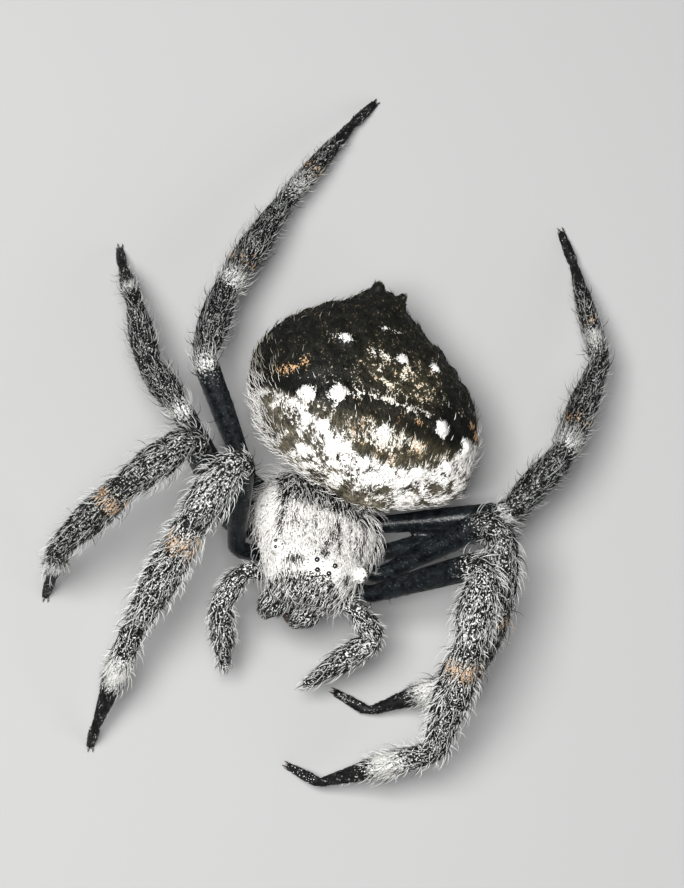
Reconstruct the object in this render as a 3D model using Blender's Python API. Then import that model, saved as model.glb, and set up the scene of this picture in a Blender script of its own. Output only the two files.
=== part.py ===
"""Female bark spider, an orb weaver of the genus Caerostris, life size, at rest on a level surface.

The head and the first two pairs of knees are held high. The head end points along -Y, +X is the
spider's left, and the origin is on the floor under the middle of the outline. Lengths in the tables
are millimetres. Every solid is the outer form of its podomere or body part with the dense coat on.
The cuts between podomeres are the joints of a living leg; here the pose is fixed.
"""

from math import asin, copysign, cos, degrees, pi, radians, sin, tan

import bmesh
import bpy
from mathutils import Matrix, Vector

MM = 0.001
GAP = 0.03              # half of the cut between two pieces that meet
SIDES = {"left": 1, "right": -1}

# Fore body (prosoma): where its rear end is, and how it is held.
PEDICEL_HEIGHT = 4.6
HEAD_UP = 22            # degrees, about X
RIGHT_SIDE_UP = 8       # degrees, about Y
MARGIN = -0.1           # height of the carapace's lower edge over the pedicel

# Abdomen (opisthosoma): its middle in the floor frame, and how it is held.
ABDOMEN_MIDDLE = (1.4, 4.4, 5.35)
ABDOMEN_FRONT_UP = 10
ABDOMEN_ROLL = 7
ABDOMEN_TURN = 2.5
PEDICEL = ((0, 0.12, 4.25), (0.25, 2.2, 4.25))      # the waist's stalk, from front to rear
PEDICEL_RADIUS = 0.45

# Legs. Each podomere: its length, and its radius at the start, the middle and the end.
PODOMERES = ("femur", "patella", "tibia", "metatarsus", "tarsus")
LEG_SIZES = {
    1: ((7.4, (0.56, 0.72, 0.80)), (4.7, (0.86, 1.15, 0.98)), (7.6, (0.98, 1.10, 0.74)),
        (7.3, (0.70, 0.68, 0.36)), (2.1, (0.33, 0.31, 0.25))),
    2: ((7.6, (0.56, 0.72, 0.80)), (4.6, (0.84, 1.05, 0.90)), (6.3, (0.90, 0.98, 0.70)),
        (6.1, (0.66, 0.64, 0.36)), (2.0, (0.33, 0.31, 0.25))),
    3: ((6.0, (0.54, 0.66, 0.68)), (2.95, (0.72, 0.88, 0.78)), (4.0, (0.76, 0.80, 0.58)),
        (3.8, (0.54, 0.50, 0.34)), (1.6, (0.31, 0.30, 0.25))),
    4: ((7.2, (0.56, 0.70, 0.72)), (4.3, (0.76, 0.95, 0.84)), (6.7, (0.84, 0.92, 0.66)),
        (6.7, (0.62, 0.60, 0.36)), (1.95, (0.33, 0.31, 0.25))),
}
# Hip (coxa) and trochanter of the left legs, in the fore body's frame.
COXA = {1: (1.75, -5.0, -1.2), 2: (1.85, -3.85, -1.35), 3: (1.85, -2.75, -1.4), 4: (1.5, -1.65, -1.3)}
TROCHANTER = {1: (3.9, -5.6, -0.5), 2: (4.5, -4.1, -0.7), 3: (4.5, -2.6, -0.8), 4: (3.8, -1.1, -0.9)}
COXA_RADIUS = 0.5
KNEE_RADIUS = 1.0       # of the bend in a leg's middle line
BEND_SHARE = 0.44       # most of a podomere's length that one bend may take
BEND_STEP = 40          # degrees between two rings of a bend
LEAST_BEND = 4          # degrees; a joint that turns less than this is left straight
JOINT_RUN = 0.02        # straight length kept before such a joint
LEG_SIDES = 10          # of a podomere's section
RING_SPACING = 1.5

# How each podomere lies: heading in degrees from +X, counterclockwise from above, and rise over
# the horizontal. The tarsus has only a heading: it slopes down until the foot meets the floor.
LEG_POSES = {
    ("right", 1): ((111, 47), (-108, -2), (-100, -40), (-90, -43), (-75,)),
    ("right", 2): ((141, 49), (-128, 13), (-120, -50), (-61, -77), (-78,)),
    ("right", 3): ((139, 18), (136, -27), (114, -23), (110, -50), (102,)),
    ("right", 4): ((128, 14), (84, -23), (70, -16), (63, -17), (58,)),
    ("left", 1): ((30, 39), (-92, 12), (-83, -43), (-149, -40), (162,)),
    ("left", 2): ((43, 31), (-75, -2), (-85, -51), (-146, -31), (164,)),
    ("left", 3): ((28, -6), (48, -15), (65, -14), (76, -14), (83,)),
    ("left", 4): ((19, 18), (62, 10), (77, -23), (111, -28), (120,)),
}
FOOT_HEIGHT = 0.19      # of the tarsus's tip over the floor, less than its radius, so it ends in a flat

# Feelers (palps): lengths and radii of the upper and lower part, and their poses.
PALP_START = (2.0, -6.35, -1.0)
PALP_SIZES = ((1.45, (0.42, 0.48, 0.55)), (2.3, (0.60, 0.72, 0.70)), (4.7, (0.72, 0.74, 0.40)))
PALP_BEND = 0.75
PALP_END = 0.3          # length of the rounded tip
PALP_POSES = {
    "right": ((176, 37), (-108, -20), (-62, -45)),
    "left": ((-6, 26), (-34, -26), (-130, -30)),
}

# Carapace: distance from the rear end, half width and height of the crown at each station.
CARAPACE = (
    (0.0, 1.2, 0.45), (-0.8, 2.5, 1.1), (-1.8, 3.3, 1.75), (-2.9, 3.65, 2.2), (-4.0, 3.5, 2.4),
    (-5.0, 3.1, 2.6), (-5.9, 2.8, 2.95), (-6.7, 2.5, 3.1), (-7.35, 2.1, 2.6), (-7.9, 1.5, 1.6),
)
# Sternum with the mouth parts' bases: distance, half width and lowest point.
STERNUM = (
    (-0.3, 0.6, -1.2), (-1.2, 1.1, -1.8), (-2.6, 1.45, -2.15), (-4.2, 1.45, -2.15), (-5.2, 1.3, -1.95),
    (-5.9, 0.9, -1.6),
)
# Abdomen: distance along it, how far its middle leans to the left, half width, top and bottom.
ABDOMEN = (
    (-6.3, 0, 1.5, 2.7, 1.6), (-5.8, 0, 3.2, 3.4, 1.35), (-5.1, 0, 4.6, 4.0, 0.6),
    (-4.1, 0, 5.6, 4.5, -0.8), (-2.6, -0.1, 6.15, 4.9, -3.1), (-0.8, -0.3, 6.5, 4.95, -4.4),
    (1.2, -0.65, 6.35, 4.6, -4.5), (3.0, -1.05, 5.2, 4.0, -3.9), (4.4, -1.25, 3.35, 3.45, -2.9),
    (5.1, -1.0, 2.1, 3.1, -1.9), (5.6, -0.85, 1.3, 2.8, -0.6), (5.85, -0.8, 0.8, 2.5, 0.5),
)
ABDOMEN_SIDES = 22
# The two points of its rear end: start, tip, and the radius at each.
CUSPS = (
    ((-0.95, 4.6, 1.95), (-1.45, 6.05, 2.4), (1.0, 0.35)),
    ((-0.5, 4.5, 2.3), (0.0, 5.7, 2.8), (0.95, 0.32)),
)
# Knobs on its upper side: place across and along it, and size; a knob is a low dome.
KNOBS = (
    (-4.75, -1.6, 1.0), (4.57, -2.1, 1.0), (-3.3, -1.35, 1.0), (2.78, -1.67, 1.0), (-3.25, 1.93, 0.85),
    (2.02, 1.72, 0.7), (3.66, -3.6, 0.9), (-0.47, -2.8, 0.9), (0.03, 1.56, 0.7), (1.97, -4.34, 0.8),
    (-1.05, -4.66, 0.9), (-3.7, -3.2, 0.9),
)
KNOB_RADIUS = 0.55      # of a knob of size 1
KNOB_HEIGHT = 0.2       # over the skin round it, for the same knob
SQUARENESS = 2.3        # exponent of the body's superelliptic sections

# Eyes: middle and radius in the fore body's frame; the side eyes sit on small knobs.
EYES = {
    "eye_median_rear": ((0.52, -6.62, 3.06), 0.17),
    "eye_median_front": ((0.33, -7.06, 2.86), 0.17),
    "eye_side_rear": ((2.66, -5.84, 2.16), 0.12),
    "eye_side_front": ((2.58, -6.16, 2.10), 0.12),
}
EYE_KNOB = ((2.38, -5.95, 1.88), 0.44)
EYE_RINGS = 5           # faces of an eye from pole to pole

# Jaws (chelicerae) and fangs.
JAW_PATH = ((0.92, -6.95, -0.25), (0.95, -7.3, -1.3), (0.86, -7.25, -2.7))
JAW_RADII = (0.72, 0.88, 0.58)
FANG_PATH = ((0.80, -7.2, -2.85), (0.66, -7.05, -3.25), (0.38, -6.75, -3.5))
FANG_RADII = (0.3, 0.26, 0.14)
JAW_SIDES, FANG_SIDES = 10, 8
JAW_RING_SPACING = 0.8

# Spinnerets, in the abdomen's frame: three pairs of cones on one base.
SPINNERET_BASE = (0.0, 3.55, -3.58)
SPINNERET_WAY = (0, 0.55, -0.83)
SPINNERET_BASE_RADII = (0.85, 0.75)
SPINNERET_BASE_LENGTH = 0.35
SPINNERET_LENGTH = 0.75
SPINNERET_RADII = (0.3, 0.15)
SPINNERET_PAIRS = ((-0.38, -0.1), (0.05, 0.2), (0.42, 0.45))    # place along the base, lean to the rear
SPINNERET_APART = 0.36  # from the middle line
SPINNERET_SPLAY = 0.12
SPINNERET_SUNK = 0.15

COLOURS = {
    "carapace": ((0.62, 0.61, 0.58), 0.9),
    "underside": ((0.08, 0.075, 0.07), 0.7),
    "abdomen": ((0.22, 0.19, 0.13), 0.8),
    "femur": ((0.02, 0.025, 0.035), 0.35),
    "leg": ((0.20, 0.20, 0.20), 0.85),
    "tarsus": ((0.03, 0.03, 0.032), 0.5),
    "eye": ((0.01, 0.01, 0.012), 0.08),
    "fang": ((0.05, 0.02, 0.012), 0.2),
}


def clear_scene():
    for old in list(bpy.data.objects):
        bpy.data.objects.remove(old, do_unlink=True)


def material(name):
    found = bpy.data.materials.get(name)
    if found:
        return found
    made = bpy.data.materials.new(name)
    made.use_nodes = True
    surface = made.node_tree.nodes["Principled BSDF"]
    colour, roughness = COLOURS[name]
    surface.inputs["Base Color"].default_value = (*colour, 1)
    surface.inputs["Roughness"].default_value = roughness
    surface.inputs["Metallic"].default_value = 0
    return made


def empty(name, parent=None, hold=None):
    """An empty to parent pieces to; hold is its place and turn under its parent, in millimetres."""
    made = bpy.data.objects.new(name, None)
    bpy.context.collection.objects.link(made)
    made.parent = parent
    if hold:
        made.location = hold.translation * MM
        made.rotation_euler = hold.to_euler()
    return made


def fore_body_hold():
    tilt = Matrix.Rotation(radians(-HEAD_UP), 4, "X") @ Matrix.Rotation(radians(RIGHT_SIDE_UP), 4, "Y")
    return Matrix.Translation((0, 0, PEDICEL_HEIGHT)) @ tilt


def hind_body_hold():
    turn = (Matrix.Rotation(radians(ABDOMEN_TURN), 4, "Z")
            @ Matrix.Rotation(radians(-ABDOMEN_FRONT_UP), 4, "X")
            @ Matrix.Rotation(radians(ABDOMEN_ROLL), 4, "Y"))
    return Matrix.Translation(ABDOMEN_MIDDLE) @ turn


def solid(name, bm, finish, parent):
    """Turns a bmesh in millimetres into a named, smooth-shaded object in metres."""
    bmesh.ops.scale(bm, vec=(MM, MM, MM), verts=bm.verts)
    bmesh.ops.recalc_face_normals(bm, faces=bm.faces)
    mesh = bpy.data.meshes.new(name)
    bm.to_mesh(mesh)
    bm.free()
    mesh.shade_smooth()
    mesh.materials.append(material(finish))
    made = bpy.data.objects.new(name, mesh)
    bpy.context.collection.objects.link(made)
    made.parent = parent
    return made


def guide(made):
    made.hide_render = True
    made.display_type = "WIRE"


def boolean(target, tool, operation):
    modifier = target.modifiers.new(tool.name, "BOOLEAN")
    modifier.object = tool
    modifier.operation = operation
    modifier.solver = "EXACT"


def blend(values, t):
    """The value at t, from 0 to 1, of a smooth curve through evenly spaced values."""
    place = t * (len(values) - 1)
    i = min(int(place), len(values) - 2)
    f = place - i
    a, b = values[i], values[i + 1]
    before = values[i - 1] if i else a
    after = values[i + 2] if i + 2 < len(values) else b
    return b * f * f * (3 - 2 * f) + a * (1 - f * f * (3 - 2 * f)) + f * (1 - f) * (
        (b - before) * (1 - f) - (after - a) * f) / 2


def direction(heading, rise):
    heading, rise = radians(heading), radians(rise)
    return Vector((cos(rise) * cos(heading), cos(rise) * sin(heading), sin(rise)))


def bend(corner, arrive, leave, radius):
    """Points and tangents of the arc that rounds a corner; a corner that hardly turns is one point."""
    turn = arrive.angle(leave)
    if turn < radians(LEAST_BEND):
        return [(corner.copy(), (arrive + leave).normalized())]
    inward = (leave - arrive).normalized()
    middle = corner + inward * (radius / cos(turn / 2))
    steps = 2 * max(1, round(degrees(turn) / BEND_STEP))
    forward = (arrive + leave).normalized()
    points = []
    for i in range(steps + 1):
        angle = turn * (i / steps - 0.5)
        offset = forward * sin(angle) - inward * cos(angle)
        tangent = forward * cos(angle) + inward * sin(angle)
        points.append((middle + offset * radius, tangent))
    return points


def podomere_lines(corners, radius):
    """Splits a leg's rounded middle line at its joints: one list of (point, tangent) for each run."""
    runs = [(b - a).normalized() for a, b in zip(corners, corners[1:])]
    lengths = [(b - a).length for a, b in zip(corners, corners[1:])]
    arcs = []
    for i in range(1, len(corners) - 1):
        turn = max(runs[i - 1].angle(runs[i]), radians(LEAST_BEND))
        room = BEND_SHARE * min(lengths[i - 1], lengths[i])
        arcs.append(bend(corners[i], runs[i - 1], runs[i], min(radius, room / tan(turn / 2))))
    lines = []
    for i, run in enumerate(runs):
        start = arcs[i - 1][len(arcs[i - 1]) // 2:] if i else [(corners[0], run)]
        end = arcs[i][: len(arcs[i]) // 2 + 1] if i < len(arcs) else [(corners[-1], run)]
        if i < len(arcs) and len(arcs[i]) == 1:
            end = [(corners[i + 1] - run * JOINT_RUN, end[0][1])]
        lines.append(spread(start + end))
    return lines


def spread(line, most=RING_SPACING):
    """Adds points on the straight stretches of a middle line, so that its girth can swell there."""
    full = [line[0]]
    for point, tangent in line[1:]:
        start = full[-1][0]
        steps = max(1, round((point - start).length / most))
        for k in range(1, steps):
            full.append((start.lerp(point, k / steps), (point - start).normalized()))
        full.append((point, tangent))
    return full


def straight(start, end):
    """A straight middle line."""
    way = (Vector(end) - Vector(start)).normalized()
    return [(Vector(start), way), (Vector(end), way)]


def tube(line, radii, sides, dome=0.0):
    """A closed tube on a middle line, its square ends drawn in by the gap; dome rounds its far end."""
    line = [(point.copy(), tangent) for point, tangent in line]
    line[0][0].xyz += line[0][1] * GAP
    line[-1][0].xyz -= line[-1][1] * GAP
    travelled = [0.0]
    for (a, _), (b, _) in zip(line, line[1:]):
        travelled.append(travelled[-1] + (b - a).length)
    girths = [blend(radii, s / travelled[-1]) for s in travelled]
    if dome:
        point, tangent = line[-1]
        line += [(point + tangent * dome * 0.6, tangent), (point + tangent * dome, tangent)]
        girths += [girths[-1] * 0.8, girths[-1] * 0.4]
    bm = bmesh.new()
    rings = []
    side = line[0][1].orthogonal().normalized()
    for (point, tangent), girth in zip(line, girths):
        side = (side - tangent * side.dot(tangent)).normalized()
        up = tangent.cross(side)
        rings.append([
            bm.verts.new(point + (side * cos(2 * pi * k / sides) + up * sin(2 * pi * k / sides)) * girth)
            for k in range(sides)])
    skin_rings(bm, rings)
    return bm


def skin_rings(bm, rings):
    """Joins rings of equal length by quads and closes both ends."""
    count = len(rings[0])
    for a, b in zip(rings, rings[1:]):
        for k in range(count):
            bm.faces.new((a[k], a[(k + 1) % count], b[(k + 1) % count], b[k]))
    bm.faces.new(reversed(rings[0]))
    bm.faces.new(rings[-1])


def superellipse(angle):
    """A point of the unit superellipse, as (across, up)."""
    power = 2 / SQUARENESS
    return copysign(abs(cos(angle)) ** power, cos(angle)), copysign(abs(sin(angle)) ** power, sin(angle))


def abdomen_section(lean, half_width, top, bottom, count):
    """A whole superellipse between a top and a bottom."""
    points = []
    for k in range(count):
        across, height = superellipse(2 * pi * (k + 0.5) / count)
        points.append((lean + across * half_width, (top + bottom) / 2 + height * (top - bottom) / 2))
    return points


def abdomen_top(x, y):
    """Height of the abdomen's upper side at a place in its own frame."""
    front, rear = next(pair for pair in zip(ABDOMEN, ABDOMEN[1:]) if y <= pair[1][0])
    share = (y - front[0]) / (rear[0] - front[0])
    lean, half_width, top, bottom = (a + (b - a) * share for a, b in zip(front[1:], rear[1:]))
    across = abs(x - lean) / half_width
    height = (1 - across ** SQUARENESS) ** (1 / SQUARENESS)
    return (top + bottom) / 2 + height * (top - bottom) / 2


def loft(stations, outline, count):
    """A body through sections along Y; outline gives the points of one section from its numbers."""
    bm = bmesh.new()
    rings = []
    for y, *numbers in stations:
        rings.append([bm.verts.new((x, y, z)) for x, z in outline(*numbers, count)])
    skin_rings(bm, rings)
    return bm


def dome_section(half_width, crown, count):
    """Half a superellipse over a flat underside at the carapace's margin."""
    points = []
    for k in range(count):
        across, height = superellipse(pi * k / (count - 1))
        points.append((across * half_width, MARGIN + (crown - MARGIN) * abs(height)))
    return points


def keel_section(half_width, lowest, count):
    """The sternum's section: flat above, rounded below."""
    top = MARGIN - 2 * GAP
    points = []
    for k in range(count):
        angle = pi * k / (count - 1)
        points.append((-cos(angle) * half_width, top + (lowest - top) * sin(angle) ** 0.7))
    return points


def ball(middle, radius, rings=6):
    bm = bmesh.new()
    bmesh.ops.create_uvsphere(bm, u_segments=2 * rings, v_segments=rings, radius=radius)
    bmesh.ops.translate(bm, vec=middle, verts=bm.verts)
    return bm


def mirrored(point, side):
    return Vector((point[0] * SIDES[side], point[1], point[2]))


def stand_on_floor(bm):
    """Cuts a foot level with the floor and closes the flat that it stands on."""
    everything = bm.verts[:] + bm.edges[:] + bm.faces[:]
    cut = bmesh.ops.bisect_plane(
        bm, geom=everything, plane_co=(0, 0, 0), plane_no=(0, 0, 1), clear_inner=True)
    edges = [part for part in cut["geom_cut"] if isinstance(part, bmesh.types.BMEdge)]
    bmesh.ops.contextual_create(bm, geom=edges)


def join_to(target, name, bm, parent):
    """Unites a guide body with a finished one."""
    tool = solid(name, bm, target.data.materials[0].name, parent)
    guide(tool)
    boolean(target, tool, "UNION")


def make_carapace(fore_body):
    carapace = solid("carapace", loft(CARAPACE, dome_section, 13), "carapace", fore_body)
    middle, radius = EYE_KNOB
    for side in SIDES:
        join_to(carapace, f"eye_knob_{side}", ball(mirrored(middle, side), radius), fore_body)
    for name, (middle, radius) in EYES.items():
        for side in SIDES:
            hollow = ball(mirrored(middle, side), radius + GAP, EYE_RINGS)
            socket = solid(f"socket_{name}_{side}", hollow, "carapace", fore_body)
            guide(socket)
            boolean(carapace, socket, "DIFFERENCE")
            solid(f"{name}_{side}", ball(mirrored(middle, side), radius, EYE_RINGS), "eye", fore_body)


def make_jaws(fore_body):
    for side in SIDES:
        for name, path, radii, finish, sides in (("jaw", JAW_PATH, JAW_RADII, "leg", JAW_SIDES),
                                                 ("fang", FANG_PATH, FANG_RADII, "fang", FANG_SIDES)):
            points = [mirrored(point, side) for point in path]
            steps = [(b - a).normalized() for a, b in zip(points, points[1:])]
            tangents = [steps[0], (steps[0] + steps[1]).normalized(), steps[1]]
            line = spread(list(zip(points, tangents)), most=JAW_RING_SPACING)
            solid(f"{name}_{side}", tube(line, radii, sides), finish, fore_body)


def make_abdomen(root, hind_body):
    abdomen = solid("abdomen", loft(ABDOMEN, abdomen_section, ABDOMEN_SIDES), "abdomen", hind_body)
    join_to(abdomen, "pedicel", tube(straight(*PEDICEL), (PEDICEL_RADIUS, PEDICEL_RADIUS), 8), root)
    for number, (start, tip, radii) in enumerate(CUSPS, 1):
        join_to(abdomen, f"cusp_{number}", tube(straight(start, tip), radii, 8), hind_body)
    for number, (x, y, size) in enumerate(KNOBS, 1):
        middle = Vector((x, y, abdomen_top(x, y) - (KNOB_RADIUS - KNOB_HEIGHT) * size))
        join_to(abdomen, f"knob_{number}", ball(middle, KNOB_RADIUS * size), hind_body)


def make_spinnerets(hind_body):
    base = Vector(SPINNERET_BASE)
    way = Vector(SPINNERET_WAY).normalized()
    line = straight(base, base + way * SPINNERET_BASE_LENGTH)
    cluster = solid("spinnerets", tube(line, SPINNERET_BASE_RADII, 12), "leg", hind_body)
    for side in SIDES:
        for pair, (along, lean) in enumerate(SPINNERET_PAIRS, 1):
            start = base + Vector((SPINNERET_APART * SIDES[side], along, 0)) + way * SPINNERET_SUNK
            outward = (way + Vector((SPINNERET_SPLAY * SIDES[side], lean, 0))).normalized()
            cone = tube(straight(start, start + outward * SPINNERET_LENGTH), SPINNERET_RADII, 8)
            join_to(cluster, f"spinneret_{side}_{pair}", cone, hind_body)


def make_leg(root, side, number):
    corners = [fore_body_hold() @ mirrored(place[number], side) for place in (COXA, TROCHANTER)]
    for (length, _), pose in zip(LEG_SIZES[number], LEG_POSES[side, number]):
        if len(pose) == 1:
            pose = (pose[0], degrees(asin((FOOT_HEIGHT - corners[-1].z) / length)))
        corners.append(corners[-1] + direction(*pose) * length)
    hip, thigh, *others = podomere_lines(corners, KNEE_RADIUS)
    for name, line, (_, radii) in zip(PODOMERES, [hip[:-1] + thigh, *others], LEG_SIZES[number]):
        if name == "femur":
            radii = (COXA_RADIUS, *radii)
        foot = name == "tarsus"
        bm = tube(line, radii, LEG_SIDES, dome=radii[-1] if foot else 0.0)
        if foot:
            stand_on_floor(bm)
        solid(f"{side}_leg_{number}_{name}", bm, name if name in COLOURS else "leg", root)


def make_palp(root, side):
    corners = [fore_body_hold() @ mirrored(PALP_START, side)]
    for (length, _), pose in zip(PALP_SIZES, PALP_POSES[side]):
        corners.append(corners[-1] + direction(*pose) * length)
    first, second, third = podomere_lines(corners, PALP_BEND)
    upper_radii = (*PALP_SIZES[0][1], *PALP_SIZES[1][1][1:])
    solid(f"{side}_palp_upper", tube(first[:-1] + second, upper_radii, LEG_SIDES), "leg", root)
    lower = tube(third, PALP_SIZES[2][1], LEG_SIDES, dome=PALP_END)
    solid(f"{side}_palp_lower", lower, "leg", root)


def set_down(root):
    """Moves the whole spider so that the origin is on the floor under the middle of its outline."""
    bpy.context.view_layer.update()
    graph = bpy.context.evaluated_depsgraph_get()
    corners = []
    for made in bpy.data.objects:
        if made.type == "MESH" and not made.hide_render:
            shown = made.evaluated_get(graph)
            corners += [shown.matrix_world @ vertex.co for vertex in shown.data.vertices]
    for axis in (0, 1):
        root.location[axis] = -(min(c[axis] for c in corners) + max(c[axis] for c in corners)) / 2


def main():
    clear_scene()
    root = empty("spider")
    fore_body = empty("fore_body", root, fore_body_hold())
    hind_body = empty("hind_body", root, hind_body_hold())
    make_carapace(fore_body)
    solid("sternum", loft(STERNUM, keel_section, 8), "underside", fore_body)
    make_jaws(fore_body)
    make_abdomen(root, hind_body)
    make_spinnerets(hind_body)
    for side in SIDES:
        make_palp(root, side)
        for number in LEG_SIZES:
            make_leg(root, side, number)
    set_down(root)


main()
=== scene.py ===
"""Looks of the female bark spider (genus Caerostris): skin, coat, eyes, claws and fangs.

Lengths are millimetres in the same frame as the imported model, and a finished mesh is brought to
metres once. The skin is one closed surface over the flesh of every part. The coat grows out of it:
short down that lies flat, longer bristles, pale rings on the legs and a fringe round the abdomen.
"""

from math import asin, cos, degrees, pi, radians, sin, tan

import bmesh
import bpy
import numpy as np
from mathutils import Matrix, Vector, noise
from mathutils.bvhtree import BVHTree


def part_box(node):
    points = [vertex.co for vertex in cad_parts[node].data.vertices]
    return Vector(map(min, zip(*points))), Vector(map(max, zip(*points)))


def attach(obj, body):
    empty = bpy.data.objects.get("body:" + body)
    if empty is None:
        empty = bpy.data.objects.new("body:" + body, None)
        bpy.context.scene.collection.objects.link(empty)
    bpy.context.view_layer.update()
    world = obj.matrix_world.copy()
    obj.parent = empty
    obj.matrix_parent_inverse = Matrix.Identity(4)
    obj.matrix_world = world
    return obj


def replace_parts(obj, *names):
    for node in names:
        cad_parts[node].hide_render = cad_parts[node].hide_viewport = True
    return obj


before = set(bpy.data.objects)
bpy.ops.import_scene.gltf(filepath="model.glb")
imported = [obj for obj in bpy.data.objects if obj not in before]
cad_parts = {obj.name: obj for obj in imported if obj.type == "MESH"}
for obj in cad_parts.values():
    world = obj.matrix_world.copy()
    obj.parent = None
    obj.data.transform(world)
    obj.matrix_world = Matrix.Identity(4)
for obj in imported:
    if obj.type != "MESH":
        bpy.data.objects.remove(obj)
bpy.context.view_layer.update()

MM = 0.001
SIDES = {"left": 1, "right": -1}
SEED = 41

# ---- sizes and pose of the flesh, as in the solids --------------------------------------------

PEDICEL_HEIGHT = 4.6
HEAD_UP = 22            # degrees, about X
RIGHT_SIDE_UP = 8       # degrees, about Y
MARGIN = -0.1           # height of the carapace's lower edge over the pedicel
ABDOMEN_MIDDLE = (1.4, 4.4, 5.35)
ABDOMEN_FRONT_UP = 10
ABDOMEN_ROLL = 7
ABDOMEN_TURN = 2.5
PEDICEL_RADIUS = 0.38

FEMUR, PATELLA, TIBIA, METATARSUS, TARSUS = range(5)
LEG_SIZES = {           # length, and radius at the start, the middle and the end
    1: ((7.4, (0.56, 0.72, 0.80)), (4.7, (0.86, 1.15, 0.98)), (7.6, (0.98, 1.10, 0.74)),
        (7.3, (0.70, 0.68, 0.36)), (2.1, (0.33, 0.31, 0.25))),
    2: ((7.6, (0.56, 0.72, 0.80)), (4.6, (0.84, 1.05, 0.90)), (6.3, (0.90, 0.98, 0.70)),
        (6.1, (0.66, 0.64, 0.36)), (2.0, (0.33, 0.31, 0.25))),
    3: ((6.0, (0.54, 0.66, 0.68)), (2.95, (0.72, 0.88, 0.78)), (4.0, (0.76, 0.80, 0.58)),
        (3.8, (0.54, 0.50, 0.34)), (1.6, (0.31, 0.30, 0.25))),
    4: ((7.2, (0.56, 0.70, 0.72)), (4.3, (0.76, 0.95, 0.84)), (6.7, (0.84, 0.92, 0.66)),
        (6.7, (0.62, 0.60, 0.36)), (1.95, (0.33, 0.31, 0.25))),
}
COXA = {1: (1.75, -5.0, -1.2), 2: (1.85, -3.85, -1.35), 3: (1.85, -2.75, -1.4), 4: (1.5, -1.65, -1.3)}
TROCHANTER = {1: (3.9, -5.6, -0.5), 2: (4.5, -4.1, -0.7), 3: (4.5, -2.6, -0.8), 4: (3.8, -1.1, -0.9)}
COXA_RADIUS = 0.5
KNEE_RADIUS = 1.0
LEG_POSES = {           # heading and rise of each podomere, in degrees
    ("right", 1): ((111, 47), (-108, -2), (-100, -40), (-90, -43), (-75,)),
    ("right", 2): ((141, 49), (-128, 13), (-120, -50), (-61, -77), (-78,)),
    ("right", 3): ((139, 18), (136, -27), (114, -23), (110, -50), (102,)),
    ("right", 4): ((128, 14), (84, -23), (70, -16), (63, -17), (58,)),
    ("left", 1): ((30, 39), (-92, 12), (-83, -43), (-149, -40), (162,)),
    ("left", 2): ((43, 31), (-75, -2), (-85, -51), (-146, -31), (164,)),
    ("left", 3): ((28, -6), (48, -15), (65, -14), (76, -14), (83,)),
    ("left", 4): ((19, 18), (62, 10), (77, -23), (111, -28), (120,)),
}
FOOT_HEIGHT = 0.19
COAT_ON_LEG = (0.07, 0.17, 0.17, 0.12, 0.04)    # depth of the coat on each podomere
WAIST = 0.12            # how much a podomere narrows at a joint
WAIST_LENGTH = 0.28

PALP_START = (2.0, -6.35, -1.0)
PALP_SIZES = ((1.45, (0.42, 0.48, 0.55)), (2.3, (0.60, 0.72, 0.70)), (4.7, (0.72, 0.74, 0.40)))
PALP_POSES = {
    "right": ((176, 37), (-108, -20), (-62, -45)),
    "left": ((-6, 26), (-34, -26), (-130, -30)),
}
PALP_BEND = 0.75
COAT_ON_PALP = (0.1, 0.16, 0.16)

CARAPACE = (            # distance from the rear end, half width, height of the crown
    (0.0, 1.2, 0.45), (-0.8, 2.5, 1.1), (-1.8, 3.3, 1.75), (-2.9, 3.65, 2.2), (-4.0, 3.5, 2.4),
    (-5.0, 3.1, 2.6), (-5.9, 2.8, 2.95), (-6.7, 2.5, 3.1), (-7.35, 2.1, 2.6), (-7.9, 1.5, 1.6),
)
STERNUM = (             # distance, half width, lowest point
    (-0.3, 0.6, -1.2), (-1.2, 1.1, -1.8), (-2.6, 1.45, -2.15), (-4.2, 1.45, -2.15), (-5.2, 1.3, -1.95),
    (-5.9, 0.9, -1.6),
)
ABDOMEN = (             # distance, lean to the left, half width, top and bottom
    (-6.3, 0, 1.5, 2.7, 1.6), (-5.8, 0, 3.2, 3.4, 1.35), (-5.1, 0, 4.6, 4.0, 0.6),
    (-4.1, 0, 5.6, 4.5, -0.8), (-2.6, -0.1, 6.15, 4.9, -3.1), (-0.8, -0.3, 6.5, 4.95, -4.4),
    (1.2, -0.65, 6.35, 4.6, -4.5), (3.0, -1.05, 5.2, 4.0, -3.9), (4.4, -1.25, 3.35, 3.45, -2.9),
    (5.1, -1.0, 2.1, 3.1, -1.9), (5.6, -0.85, 1.3, 2.8, -0.6), (5.85, -0.8, 0.8, 2.5, 0.5),
)
CUSPS = (               # start, tip and radii: the two points of its rear end and their ridge
    ((-1.25, 4.7, 1.7), (-1.40, 5.74, 2.36), (1.8, 0.5)),
    ((-0.5, 4.55, 2.15), (-0.08, 5.46, 2.72), (1.4, 0.38)),
    ((-1.35, 5.2, 2.1), (-0.2, 5.0, 2.45), (0.75, 0.6)),
)
SQUARENESS = 2.3
COAT_ON_CARAPACE = 0.16
COAT_ON_ABDOMEN = 0.26

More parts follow.
